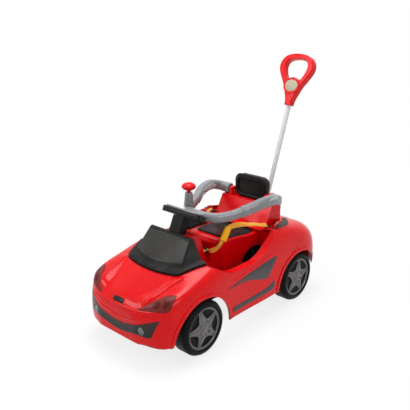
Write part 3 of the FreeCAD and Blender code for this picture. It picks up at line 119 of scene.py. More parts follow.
@contextmanager
def editing(piece: Piece) -> Iterator[None]:
    """Opens a piece in edit mode with all of it selected, and closes it again."""
    take(piece)
    bpy.ops.object.mode_set(mode="EDIT")
    bpy.ops.mesh.select_all(action="SELECT")
    yield
    bpy.ops.object.mode_set(mode="OBJECT")


@contextmanager
def picking(piece: Piece, way: Sequence[float], least: float = 0.9) -> Iterator[None]:
    """Opens a piece in edit mode with the faces selected that look one way, and closes it again.

    Args:
        piece: The mesh object to open.
        way: The way to look.
        least: How nearly a face has to look that way, up to 1.
    """
    take(piece)
    bpy.ops.object.mode_set(mode="EDIT")
    bpy.ops.mesh.select_mode(type="FACE")
    bpy.ops.mesh.select_all(action="DESELECT")
    bpy.ops.object.mode_set(mode="OBJECT")
    for face in piece.data.polygons:
        face.select = face.normal.dot(Vector(way)) > least
    bpy.ops.object.mode_set(mode="EDIT")
    yield
    bpy.ops.object.mode_set(mode="OBJECT")


def inset_steps(steps: Sequence[Point]) -> None:
    """Insets the selected faces step by step, each by a width and a rise."""
    for width, rise in steps:
        bpy.ops.mesh.inset(thickness=width, depth=rise)


def close_up(piece: Piece, angle: float = 40.0) -> None:
    """Merges a mesh's doubles, turns its faces outwards and shades it smooth.

    Args:
        piece: The mesh object to finish.
        angle: Edges sharper than this many degrees stay sharp.
    """
    with editing(piece):
        bpy.ops.mesh.remove_doubles(threshold=MERGE_REACH)
        bpy.ops.mesh.normals_make_consistent(inside=False)
    bpy.ops.object.shade_smooth_by_angle(angle=math.radians(angle))


def round_edges(piece: Piece, width: float, segments: int, angle: float) -> None:
    """Rounds the edges of a piece that are sharper than an angle in degrees."""
    add_modifier(piece, "BEVEL", width=width, segments=segments, limit_method="ANGLE",
                 angle_limit=math.radians(angle))


def grid(name: str, columns: int, rows: int) -> Piece:
    """A flat sheet of unit size, cut into columns and rows."""
    clear_selection()
    bpy.ops.mesh.primitive_grid_add(x_subdivisions=columns, y_subdivisions=rows, size=1.0)
    return named(name)


def cylinder(name: str, sides: int, radius: float, depth: float, middle: Sequence[float],
             lying: bool = True) -> Piece:
    """A cylinder about its middle, lying along X or standing."""
    clear_selection()
    turn = (0.0, math.radians(90) if lying else 0.0, 0.0)
    bpy.ops.mesh.primitive_cylinder_add(vertices=sides, radius=radius, depth=depth, location=middle,
                                        rotation=turn)
    piece = named(name)
    settle(piece)
    return piece


def extruded(name: str, edge: Sequence[Vector], way: Vector, corner: float = 0.0) -> Piece:
    """A block with one outline.

    Args:
        name: The block's name.
        edge: The corners of its first face.
        way: The way from there to its other face.
        corner: The round of its corners.

    Returns:
        The block.
    """
    clear_selection()
    bpy.ops.mesh.primitive_circle_add(vertices=len(edge), fill_type="NGON")
    piece = named(name)
    for vertex, spot in zip(piece.data.vertices, edge):
        vertex.co = spot
    with editing(piece):
        if corner:
            bpy.ops.mesh.bevel(offset=corner, segments=5, affect="VERTICES")
            bpy.ops.mesh.select_all(action="SELECT")
        bpy.ops.mesh.extrude_region_move(TRANSFORM_OT_translate={"value": way})
        bpy.ops.mesh.select_all(action="SELECT")
        bpy.ops.mesh.normals_make_consistent(inside=False)
    return piece


def cut_out(piece: Piece, cutter: Piece) -> None:
    """Cuts a hole of the cutter's shape into a piece, and deletes the cutter."""
    add_modifier(piece, "BOOLEAN", operation="DIFFERENCE", solver="EXACT", object=cutter)
    take(cutter)
    bpy.ops.object.delete()


def joined(pieces: Sequence[Piece]) -> Piece:
    """Joins pieces into the first of them, which is left active."""
    clear_selection()
    for piece in pieces:
        piece.select_set(True)
    bpy.context.view_layer.objects.active = pieces[0]
    bpy.ops.object.join()
    return pieces[0]


def copy_of(piece: Piece, name: str) -> Piece:
    """A copy of a piece with its own mesh, left active."""
    take(piece)
    bpy.ops.object.duplicate(linked=False)
    return named(name)


def mirrored_copy(piece: Piece, name: str) -> Piece:
    """A copy of a piece on the car's other side.

    Args:
        piece: The piece on the left side.
        name: The copy's name.

    Returns:
        The copy, with its own mesh.
    """
    other = copy_of(piece, name)
    bpy.ops.transform.resize(value=(-1.0, 1.0, 1.0), center_override=(0.0, 0.0, 0.0))
    settle(other)
    close_up(other)
    return other


def line_point(points: Sequence[Sequence[float]], share: float) -> Vector:
    """A point on a smooth line through given points.

    Args:
        points: The points that the line passes.
        share: How far along the line, from 0 to 1.

    Returns:
        The point there.
    """
    knots = [Vector(p) for p in points]
    runs = [(b - a).length for a, b in zip(knots, knots[1:])]
    goal = max(0.0, min(1.0, share)) * sum(runs)
    index = 0
    while index < len(runs) - 1 and goal > runs[index]:
        goal -= runs[index]
        index += 1
    t = min(1.0, goal / max(runs[index], 1e-9))
    a, b = knots[max(index - 1, 0)], knots[index]
    c, d = knots[index + 1], knots[min(index + 2, len(knots) - 1)]
    return 0.5 * (2 * b + (c - a) * t + (2 * a - 5 * b + 4 * c - d) * t * t
                  + (3 * b - a - 3 * c + d) * t * t * t)


def smooth_step(value: float) -> float:
    """An even ramp from 0 to 1."""
    held = max(0.0, min(1.0, value))
    return held * held * (3 - 2 * held)


class Facing(Enum):
    """Where one stands to lay a film on the car: azimuth and elevation in degrees."""

    NOSE = (0.0, 0.0)
    BROW = (0.0, 15.0)
    SCREEN = (0.0, 20.0)
    HANDLE = (0.0, 19.4)
    BADGE = (0.0, 30.0)
    LAMP = (42.0, 25.0)
    LEFT = (90.0, 0.0)
    GRIP = (90.0, 35.0)
    TAIL = (180.0, 0.0)
    ABOVE = (0.0, 90.0)

    def matrix(self) -> Matrix:
        """The turn whose local Z looks back at the viewer."""
        azimuth, elevation = (math.radians(v) for v in self.value)
        look = Vector((-math.sin(azimuth) * math.cos(elevation),
                       math.cos(azimuth) * math.cos(elevation), -math.sin(elevation)))
        right = Vector((math.cos(azimuth), math.sin(azimuth), 0.0))
        return Matrix((right, right.cross(look), -look)).transposed().to_4x4()


class Relief(Enum):
    """How a film or moulding stands up from its bed."""

    FILM = "film"
    RIDGE = "ridge"
    CREASE = "crease"
    PANEL = "panel"
    LENS = "lens"
    LOUVRE = "louvre"


@dataclass
class SkinPatch:
    """A film or shallow moulding that lies on a CAD node and follows its surface."""

    END_RAMP: ClassVar[dict[Relief, float]] = {Relief.RIDGE: 8.0, Relief.CREASE: 6.0, Relief.LENS: 6.0}
    LENS_RIM: ClassVar[float] = 0.25
    LOUVRE_FLOOR: ClassVar[float] = 0.35
    LOUVRE_FRAME: ClassVar[float] = 0.08
    SUNK: ClassVar[float] = 0.5
    SHEET: ClassVar[float] = 1.0
    MISS: ClassVar[float] = 1e-5
    name: str
    carrier: str
    facing: Facing
    upper: Sequence[Point]
    lower: Sequence[Point]
    relief: Relief = Relief.FILM
    rise: float = 0.5
    columns: int = 60
    rows: int = 12
    roll: float = 10.0
    louvres: int = 7
    ramp: float = 0.75
    start: float = 2.0
    smoothing: int = 0
    pair: bool = False

    def weight(self, share: float, across: float, width: float) -> float:
        """How much of its rise the patch has at one of its points.

        Args:
            share: The place along the patch, 0 to 1.
            across: The place across it, 0 to 1.
            width: Its width there, in millimetres.

        Returns:
            A weight from 0 to 1.
        """
        edge = min(across, 1 - across)
        ends = smooth_step(min(share, 1 - share) * self.END_RAMP.get(self.relief, 1.0))
        if self.relief is Relief.RIDGE:
            return smooth_step(2 * edge) * ends
        if self.relief is Relief.CREASE:
            slope = across / self.ramp if across < self.ramp else (1 - across) / (1 - self.ramp)
            return smooth_step(slope) * ends
        if self.relief is Relief.PANEL:
            return smooth_step(edge * width / self.roll)
        if self.relief is Relief.LENS:
            bulge = math.sqrt(max(0.0, 4 * edge * (1 - edge)))
            return min(1.0, self.LENS_RIM + (1 - self.LENS_RIM) * bulge * ends)
        if self.relief is Relief.LOUVRE and edge > self.LOUVRE_FRAME:
            return self.LOUVRE_FLOOR + (1 - self.LOUVRE_FLOOR) * ((share * self.louvres) % 1.0)
        return 1.0

    def build(self, nodes: dict[str, Piece]) -> Piece:
        """Lays the patch on its carrier.

        Args:
            nodes: The CAD nodes by name.

        Returns:
            The finished closed mesh.
        """
        piece = grid(self.name, self.columns, self.rows)
        weights = []
        for vertex in piece.data.vertices:
            share, across = vertex.co.x + 0.5, vertex.co.y + 0.5
            low, top = line_point(self.lower, share), line_point(self.upper, share)
            weights.append(self.weight(share, across, (top - low).length))
            spot = low.lerp(top, across) * MM
            vertex.co = (spot.x, spot.y, self.start)
        piece.matrix_world = self.facing.matrix()
        add_modifier(piece, "SHRINKWRAP", target=nodes[self.carrier], wrap_method="PROJECT",
                     use_project_z=True, use_negative_direction=True, use_positive_direction=False)
        missed = sum(abs(vertex.co.z - self.start) < self.MISS for vertex in piece.data.vertices)
        if missed:
            LOG.warning("%s: %d points miss %s", self.name, missed, self.carrier)
        settle(piece)
        self.face_viewer(piece)
        if self.smoothing:
            add_modifier(piece, "SMOOTH", factor=0.5, iterations=self.smoothing)
        sunk = 0.0 if self.relief in (Relief.FILM, Relief.LENS, Relief.LOUVRE) else self.SUNK
        if sunk:
            add_modifier(piece, "DISPLACE", direction="NORMAL", mid_level=0.0, strength=-sunk * MM)
        rise = piece.vertex_groups.new(name="rise")
        for index, weight in enumerate(weights):
            rise.add([index], weight, "REPLACE")
        add_modifier(piece, "DISPLACE", direction="NORMAL", mid_level=0.0,
                     strength=(self.rise + sunk) * MM, vertex_group="rise")
        add_modifier(piece, "SOLIDIFY", thickness=(self.SHEET + self.rise) * MM, offset=-1.0)
        close_up(piece, 50.0)
        return piece

    def face_viewer(self, piece: Piece) -> None:
        """Turns the sheet's faces towards the viewer that it was laid from."""
        back = self.facing.matrix().to_3x3() @ Vector((0.0, 0.0, 1.0))
        if sum(face.normal.dot(back) for face in piece.data.polygons) < 0:
            with editing(piece):
                bpy.ops.mesh.flip_normals()


def both_ways(points: Sequence[Point]) -> list[Point]:
    """A line across the whole car from the points of its left half, the middle one first."""
    return [(-x, y) for x, y in reversed(points) if x > 0] + list(points)


def beside(points: Sequence[Point], offset: float) -> list[Point]:
    """A line moved up or down by an offset."""
    return [(x, y + offset) for x, y in points]


def across_car(half: Sequence[Place]) -> list[Place]:
    """A route across the whole car from the millimetres of its left half, the middle point last."""
    route = [(x * MM, y * MM, z * MM) for x, y, z in half]
    return route + [(-x, y, z) for x, y, z in reversed(route[:-1])]


def ring_edge(middle: Point, across: float, high: float, side: int, count: int = 15) -> list[Point]:
    """Half of an oval's edge, from its left end to its right end.

    Args:
        middle: The oval's centre.
        across: Half of its width.
        high: Half of its height.
        side: 1 for the upper half and -1 for the lower one.
        count: The number of points.

    Returns:
        The points of that half.
    """
    angles = [math.pi * (1 - n / (count - 1)) for n in range(count)]
    return [(middle[0] + across * math.cos(a), middle[1] + side * high * math.sin(a)) for a in angles]


def sweep(name: str, route: Sequence[Place], section: Sequence[Point], steps: int,
          scale: Callable[[Vector], float] = lambda spot: 1.0) -> Piece:
    """A bar with one upright section that follows a line, closed at both ends.

    Args:
        name: The bar's name.
        route: The points of its centre line.
        section: The corners of the section, as places across and above the line.
        steps: How many pieces the line is cut into.
        scale: The section's size at a place on the line.

    Returns:
        The finished bar.
    """
    bar = grid(name, steps, len(section))
    for vertex in bar.data.vertices:
        share = vertex.co.x + 0.5
        across, above = section[round((vertex.co.y + 0.5) * len(section)) % len(section)]
        spot = line_point(route, share)
        ahead, behind = min(share + RUN_STEP, 1.0), max(share - RUN_STEP, 0.0)
        run = line_point(route, ahead) - line_point(route, behind)
        side = Vector((run.y, -run.x, 0.0)).normalized()
        vertex.co = spot + (side * across + Vector((0.0, 0.0, above))) * scale(spot)
    with editing(bar):
        bpy.ops.mesh.remove_doubles(threshold=MERGE_REACH)
        bpy.ops.mesh.fill_holes(sides=0)
    close_up(bar, 30.0)
    return bar


class Graph:
    """Adds nodes to one node tree and joins them."""

    def __init__(self, tree: Tree) -> None:
        """Keeps the tree."""
        self.tree = tree

    def node(self, kind: str, **settings: object) -> Node:
        """Adds a node with its own properties set."""
        made = self.tree.nodes.new(kind)
        for key, value in settings.items():
            setattr(made, key, value)
        return made

    def feed(self, socket: Socket, value: object) -> None:
        """Joins a socket to another one, or sets its plain value."""
        if isinstance(value, Socket):
            self.tree.links.new(value, socket)
        else:
            socket.default_value = value

    def feed_all(self, node: Node, values: dict[str, object]) -> None:
        """Feeds several of a node's inputs by their names."""
        for label, value in values.items():
            self.feed(node.inputs[label], value)

    def group(self, tree: Tree, **values: object) -> dict[str, Socket]:
        """Adds a shared group with its inputs fed, and returns its outputs by name."""
        made = self.node("ShaderNodeGroup", node_tree=tree)
        self.feed_all(made, values)
        return dict(made.outputs.items())

    def math(self, operation: str, first: object, second: object = 0.0,
             clamp: bool = False) -> Socket:
        """The result of one operation on two values."""
        made = self.node("ShaderNodeMath", operation=operation, use_clamp=clamp)
        self.feed(made.inputs[0], first)
        self.feed(made.inputs[1], second)
        return made.outputs[0]

    def times(self, first: object, second: object, clamp: bool = False) -> Socket:
        """The product of two values."""
        return self.math("MULTIPLY", first, second, clamp)

    def length(self, first: object, second: object) -> Socket:
        """The length of a flat vector from its two parts."""
        return self.math("SQRT", self.math("ADD", self.times(first, first), self.times(second, second)))

    def off_middle(self, share: object) -> Socket:
        """How far a share lies from one half."""
        return self.math("ABSOLUTE", self.math("SUBTRACT", share, 0.5))

    def mix(self, factor: object, first: object, second: object) -> Socket:
        """A mix of two colours."""
        made = self.node("ShaderNodeMix", data_type="RGBA")
        self.feed(made.inputs[0], factor)
        self.feed(made.inputs[6], first)
        self.feed(made.inputs[7], second)
        return made.outputs[2]

    def span(self, value: object, low: float, high: float, start: float = 0.0,
             end: float = 1.0) -> Socket:
        """A value led smoothly from one range to another."""
        made = self.node("ShaderNodeMapRange", interpolation_type="SMOOTHSTEP")
        for socket, number in zip(made.inputs, (value, low, high, start, end)):
            self.feed(socket, number)
        return made.outputs[0]

    def noise(self, vector: object, scale: object, detail: float = 2.0) -> Socket:
        """A noise value on a vector."""
        made = self.node("ShaderNodeTexNoise")
        self.feed_all(made, {"Vector": vector, "Scale": scale, "Detail": detail})
        return made.outputs[0]

    def bump(self, strength: float, distance: float, height: object,
             normal: object = None) -> Socket:
        """A bumped normal, on top of another one where that is given."""
        made = self.node("ShaderNodeBump")
        self.feed_all(made, {"Strength": strength, "Distance": distance, "Height": height})
        if normal is not None:
            self.feed(made.inputs["Normal"], normal)
        return made.outputs[0]

    def parts(self, vector: object) -> tuple[Socket, ...]:
        """A vector's three numbers."""
        made = self.node("ShaderNodeSeparateXYZ")
        self.feed(made.inputs[0], vector)
        return tuple(made.outputs)

    def here(self, kind: str = "Object") -> Socket:
        """The surface's own coordinates."""
        return self.node("ShaderNodeTexCoord").outputs[kind]


class EffectKit:
    """The node groups that the finishes share, each built once."""

    TREAD_BARS = 44.0
    TREAD_SKEW = 120.0
    TREAD_CROWN = (0.0805, 0.0825)
    TREAD_RUB = (0.077, 0.083)
    RING_PITCH = 0.0042

    def __init__(self) -> None:
        """Builds the groups."""
        self.moulded = self.make_moulded()
        self.worn = self.make_worn()
        self.dust = self.make_dust()
        self.weave = self.make_weave()
        self.tread = self.make_tread()
        self.gauze = self.make_gauze()

    @staticmethod
    def start(name: str, inputs: dict[str, object],
              outputs: dict[str, str]) -> tuple[Graph, dict[str, Socket], Node]:
        """Opens a group with its sockets.

        Args:
            name: The group's name.
            inputs: Input names with their plain values; three numbers make a vector, four a colour.
            outputs: Output names with their kinds.

        Returns:
            The group's graph, what it is given by name, and its output node.
        """
        tree = bpy.data.node_groups.new(name, "ShaderNodeTree")
        for label, value in inputs.items():
            kind = "Float" if isinstance(value, float) else "Vector" if len(value) == 3 else "Color"
            socket = tree.interface.new_socket(label, in_out="INPUT", socket_type=f"NodeSocket{kind}")
            socket.default_value = value
        for label, kind in outputs.items():
            tree.interface.new_socket(label, in_out="OUTPUT", socket_type=f"NodeSocket{kind}")
        graph = Graph(tree)
        return graph, dict(graph.node("NodeGroupInput").outputs.items()), graph.node("NodeGroupOutput")

    def make_moulded(self) -> Tree:
        """Moulded plastic: slow colour drift, smudges in the gloss and a fine skin grain."""
        graph, given, put = self.start(
            "moulded_skin", {"Colour": WHITE, "Drift": WHITE, "Roughness": 0.3, "Grain": 600.0},
            {"Colour": "Color", "Roughness": "Float", "Height": "Float"})
        here = graph.here()
        slow = graph.span(graph.noise(here, 7.0, 3.0), 0.35, 0.7)
        smudge = graph.span(graph.noise(here, 26.0, 4.0), 0.3, 0.75, -0.05, 0.07)
        graph.feed_all(put, {
            "Colour": graph.mix(slow, given["Colour"], given["Drift"]),
            "Roughness": graph.math("ADD", given["Roughness"], smudge, True),
            "Height": graph.noise(here, given["Grain"]),
        })
        return graph.tree

    def make_worn(self) -> Tree:
        """Edges: a rounded normal, and a broken mask of where handling has rubbed them."""
        graph, given, put = self.start("worn_edges", {"Radius": 0.0012},
                                       {"Edge": "Float", "Normal": "Vector"})
        round_edge = graph.node("ShaderNodeBevel", samples=6)
        graph.feed(round_edge.inputs["Radius"], given["Radius"])
        same = graph.node("ShaderNodeVectorMath", operation="DOT_PRODUCT")
        graph.feed(same.inputs[0], round_edge.outputs[0])
        graph.feed(same.inputs[1], graph.node("ShaderNodeNewGeometry").outputs["Normal"])
        bent = graph.span(graph.math("SUBTRACT", 1.0, same.outputs["Value"]), 0.015, 0.22)
        broken = graph.span(graph.noise(graph.here(), 85.0, 5.0), 0.35, 0.62)
        graph.feed_all(put, {"Edge": graph.times(bent, broken, True), "Normal": round_edge.outputs[0]})
        return graph.tree

    def make_dust(self) -> Tree:
        """A thin, patchy film of dust on faces that look up."""
        graph, given, put = self.start("settled_dust", {"Amount": 0.1}, {"Mask": "Float"})
        up = graph.parts(graph.node("ShaderNodeNewGeometry").outputs["Normal"])[2]
        patches = graph.span(graph.noise(graph.here(), 38.0, 6.0), 0.4, 0.8)
        lying = graph.times(graph.span(up, 0.35, 0.95), patches)
        graph.feed(put.inputs["Mask"], graph.times(lying, given["Amount"], True))
        return graph.tree

    def make_weave(self) -> Tree:
        """Webbing: ribs across the strap, a herringbone of threads, a mask of its low places for painted
        shade and a stitched border.
        """
        graph, given, put = self.start("webbing_weave", {"Ribs": 90.0, "Threads": 9.0},
                                       {"Height": "Float", "GapShade": "Float", "Border": "Float"})
        along, across = graph.parts(graph.here("UV"))[:2]
        lane = graph.times(across, given["Threads"])
        rib = graph.math("ADD", graph.times(along, given["Ribs"]), graph.math("PINGPONG", lane, 1.0))
        wave = graph.math("SINE", graph.times(rib, math.tau))
        cross = graph.math("SINE", graph.times(lane, math.tau))
        height = graph.math("ADD", graph.times(wave, 0.6), graph.times(cross, 0.4))
        graph.feed_all(put, {
            "Height": height,
            "GapShade": graph.span(height, -0.1, -0.7),
            "Border": graph.span(graph.off_middle(across), 0.40, 0.44),
        })
        return graph.tree

    def make_tread(self) -> Tree:
        """A wheel's moulded tread bars and sidewall rings, about an axle along X."""
        graph, given, put = self.start("wheel_tread", {"Axle": (0.0, 0.0, 0.0)},
                                       {"Height": "Float", "Rub": "Float"})
        shift = graph.node("ShaderNodeVectorMath", operation="SUBTRACT")
        graph.feed(shift.inputs[0], graph.here())
        graph.feed(shift.inputs[1], given["Axle"])
        x, y, z = graph.parts(shift.outputs[0])
        radius = graph.length(y, z)
        skew = graph.times(graph.math("ABSOLUTE", x), self.TREAD_SKEW)
        turn = graph.times(graph.math("ARCTAN2", z, y), self.TREAD_BARS)
        bars = graph.math("SINE", graph.math("ADD", turn, skew))
        crown = graph.span(radius, *self.TREAD_CROWN)
        rings = graph.math("SINE", graph.times(radius, math.tau / self.RING_PITCH))
        wall = graph.times(graph.times(rings, 0.12), graph.math("SUBTRACT", 1.0, crown))
        scuff = graph.span(graph.noise(shift.outputs[0], 60.0, 5.0), 0.45, 0.75)
        graph.feed_all(put, {
            "Height": graph.math("ADD", graph.times(graph.span(bars, -0.2, 0.2), crown), wall),
            "Rub": graph.times(scuff, graph.span(radius, *self.TREAD_RUB), True),
        })
        return graph.tree

    def make_gauze(self) -> Tree:
        """A printed honeycomb of small dark cells, on the film's own map."""
        graph, given, put = self.start("printed_gauze", {"Cells": 40.0, "Stretch": 0.2},
                                       {"Cell": "Float", "Across": "Float", "Along": "Float"})
        along, across = graph.parts(graph.here("UV"))[:2]
        row = graph.times(graph.times(across, given["Stretch"]), given["Cells"])
        odd = graph.times(graph.math("FLOORED_MODULO", graph.math("FLOOR", row), 2.0), 0.5)
        column = graph.math("ADD", graph.times(along, given["Cells"]), odd)
        dx, dy = (graph.math("SUBTRACT", graph.math("FRACT", way), 0.5) for way in (column, row))
        reach = graph.length(dx, dy)
        graph.feed_all(put, {"Cell": graph.span(reach, 0.42, 0.30), "Across": across, "Along": along})
        return graph.tree


def rgb(red: int, green: int, blue: int) -> Colour:
    """A linear colour from screen values of 0 to 255."""
    shares = (value / 255 for value in (red, green, blue))
    return tuple(((v + 0.055) / 1.055) ** 2.4 if v > 10 / 255 else v / 12.92 for v in shares)


def wet(colour: Colour) -> tuple[float, float, float, float]:
    """A colour with full cover."""
    return (*colour, 1.0)


@dataclass(frozen=True)
class Finish:
    """A named finish that can be mixed into a material."""

    name: str

    def material(self, kit: EffectKit) -> Material:
        """The finish as a material.

        Args:
            kit: The shared node groups.

        Returns:
            The new material.
        """
        material = bpy.data.materials.new(self.name)
        material.use_nodes = True
        graph = Graph(material.node_tree)
        graph.feed_all(material.node_tree.nodes["Principled BSDF"], self.inputs(graph, kit))
        return material

    def inputs(self, graph: Graph, kit: EffectKit) -> dict[str, object]:
        """What feeds the main shader, by the names of its inputs.

        Args:
            graph: The material's own graph.
            kit: The shared node groups.

        Returns:
            The sockets and plain values.
        """
        raise NotImplementedError


@dataclass(frozen=True)
class Moulding(Finish):
    """A moulded plastic or painted metal finish."""

    colour: Colour
    drift: Colour
    roughness: float
    worn: Colour
    grain: float = 700.0
    grain_depth: float = 0.05
    coat: float = 0.0
    coat_roughness: float = 0.05
    metallic: float = 0.0
    wear: float = 0.35
    dust: float = 0.025
    dust_colour: Colour = rgb(214, 206, 198)
    radius: float = 0.0012
    specular: float = 0.3

    def inputs(self, graph: Graph, kit: EffectKit) -> dict[str, object]:
        """Drifting colour, rubbed edges, thin dust and a fine grain."""
        skin = graph.group(kit.moulded, Colour=wet(self.colour), Drift=wet(self.drift),
                           Roughness=self.roughness, Grain=self.grain)
        edges = graph.group(kit.worn, Radius=self.radius)
        dust = graph.group(kit.dust, Amount=self.dust)["Mask"]
        colour = graph.mix(graph.times(edges["Edge"], self.wear), skin["Colour"], wet(self.worn))
        return {
            "Base Color": graph.mix(dust, colour, wet(self.dust_colour)),
            "Roughness": graph.math("ADD", skin["Roughness"], graph.times(dust, 0.6), True),
            "Normal": graph.bump(self.grain_depth, 0.0006, skin["Height"], edges["Normal"]),
            "Metallic": self.metallic,
            "Specular IOR Level": self.specular,
            "Coat Weight": self.coat,
            "Coat Roughness": self.coat_roughness,
        }


@dataclass(frozen=True)
class TyreFinish(Finish):
    """A wheel's black plastic with tread bars and rings about its own axle."""

    axle: Place
    colour: Colour = rgb(8, 7, 8)
    drift: Colour = rgb(12, 11, 12)
    worn: Colour = rgb(52, 50, 48)

    def inputs(self, graph: Graph, kit: EffectKit) -> dict[str, object]:
        """Black plastic with a moulded tread, rubbed paler where it runs."""
        skin = graph.group(kit.moulded, Colour=wet(self.colour), Drift=wet(self.drift),
                           Roughness=0.42, Grain=900.0)
        tread = graph.group(kit.tread, Axle=self.axle)
        edges = graph.group(kit.worn, Radius=0.0015)
        fine = graph.bump(0.08, 0.0006, skin["Height"], edges["Normal"])
        return {
            "Base Color": graph.mix(graph.times(tread["Rub"], 0.22), skin["Colour"], wet(self.worn)),
            "Roughness": graph.math("ADD", skin["Roughness"], graph.times(tread["Rub"], 0.2), True),
            "Normal": graph.bump(0.6, 0.0015, tread["Height"], fine),
            "Specular IOR Level": 0.08,
        }


@dataclass(frozen=True)
class PrintedFilm(Finish):
    """A glossy printed film: two tones across its width, a tinted tip and a fine gauze print."""

    low: Colour
    high: Colour
    cell: Colour
    cells: float
    stretch: float
    tip: Colour
    tip_share: float = 0.01
    print_strength: float = 0.5
    roughness: float = 0.3
    coat: float = 0.1

    def inputs(self, graph: Graph, kit: EffectKit) -> dict[str, object]:
        """The two tones and the tip, under the print of the gauze."""
        gauze = graph.group(kit.gauze, Cells=self.cells, Stretch=self.stretch)
        tone = graph.mix(graph.span(gauze["Across"], 0.1, 0.95), wet(self.low), wet(self.high))
        tinted = graph.span(gauze["Along"], self.tip_share * 1.6, self.tip_share * 0.4)
        tone = graph.mix(tinted, tone, wet(self.tip))
        skin = graph.group(kit.moulded, Colour=tone, Drift=tone, Roughness=self.roughness, Grain=500.0)
        cover = graph.times(gauze["Cell"], self.print_strength)
        return {
            "Base Color": graph.mix(cover, skin["Colour"], wet(self.cell)),
            "Roughness": skin["Roughness"],
            "Normal": graph.bump(0.1, 0.0004, gauze["Cell"]),
            "Specular IOR Level": 0.16,
            "Coat Weight": self.coat,
            "Coat Roughness": 0.05,
        }


@dataclass(frozen=True)
class LampFilm(Finish):
    """A headlamp film: smoked lens with two dark bowls and a frame, and a painted highlight on its upper part
    and in slanted streaks, on its own map.
    """

    frame: Colour
    smoke: Colour
    bowl: Colour
    # glow is the colour of a painted highlight, not of a lit lamp.
    glow: Colour
    bowls: Sequence[Point] = ((0.56, 0.14), (0.82, 0.11))
    bowl_height: float = 0.34

    def inputs(self, graph: Graph, kit: EffectKit) -> dict[str, object]:
        """The smoked lens with its painted highlight on the upper part and in slanted streaks, then the
        bowls, then the frame.
        """
        along, across = graph.parts(graph.here("UV"))[:2]
        # The skin drifts at random towards glow, the painted highlight tone. The first two layers paint that
        # highlight over the upper lens and in slanted streaks.
        skin = graph.group(kit.moulded, Colour=wet(self.smoke), Drift=wet(self.glow),
                           Roughness=0.12, Grain=500.0)
        highlight_streak = graph.math("FRACT", graph.math("ADD", graph.times(along, 11.0), graph.times(across, 3.0)))
        layers = [(graph.span(across, 0.55, 0.95), 0.6, self.glow),
                  (graph.span(highlight_streak, 0.6, 1.0), 0.18, self.glow)]
        for middle, size in self.bowls:
            dx = graph.math("DIVIDE", graph.math("SUBTRACT", along, middle), size)
            dy = graph.math("DIVIDE", graph.math("SUBTRACT", across, 0.5), self.bowl_height)
            layers.append((graph.span(graph.length(dx, dy), 1.0, 0.6), 0.75, self.bowl))
        edge = graph.math("MAXIMUM", graph.off_middle(across), graph.off_middle(along))
        layers.append((graph.span(edge, 0.44, 0.49), 0.7, self.frame))
        colour = skin["Colour"]
        for mask, cover, tone in layers:
            colour = graph.mix(graph.times(mask, cover), colour, wet(tone))
        return {
            "Base Color": colour,
            "Roughness": skin["Roughness"],
            "Specular IOR Level": 0.05,
            "Coat Weight": 0.02,
            "Coat Roughness": 0.1,
        }


@dataclass(frozen=True)
class WebbingFinish(Finish):
    """Woven webbing of one colour, with a deeper tone at random, at its border and, as painted shade, in the
    weave's low places.
    """

    colour: Colour
    gap: Colour

    def inputs(self, graph: Graph, kit: EffectKit) -> dict[str, object]:
        """Fibres, painted shade in the low places between the threads and a border, over the weave's relief.
        """
        weave = graph.group(kit.weave, Ribs=110.0, Threads=8.0)
        fibre = graph.noise(graph.here(), 420.0, 4.0)
        colour = wet(self.colour)
        # The weave's low places take the deeper tone as painted shade.
        for mask, cover in ((fibre, 0.2), (weave["GapShade"], 0.4), (weave["Border"], 0.35)):
            colour = graph.mix(graph.times(mask, cover), colour, wet(self.gap))
        return {
            "Base Color": colour,
            "Roughness": graph.span(fibre, 0.2, 0.8, 0.6, 0.85),
            "Normal": graph.bump(0.7, 0.0006, weave["Height"]),
            "Sheen Weight": 0.25,
        }


class Coat(NamedTuple):
    """A material with the record's slot for it."""

    material: Material
    slot: str


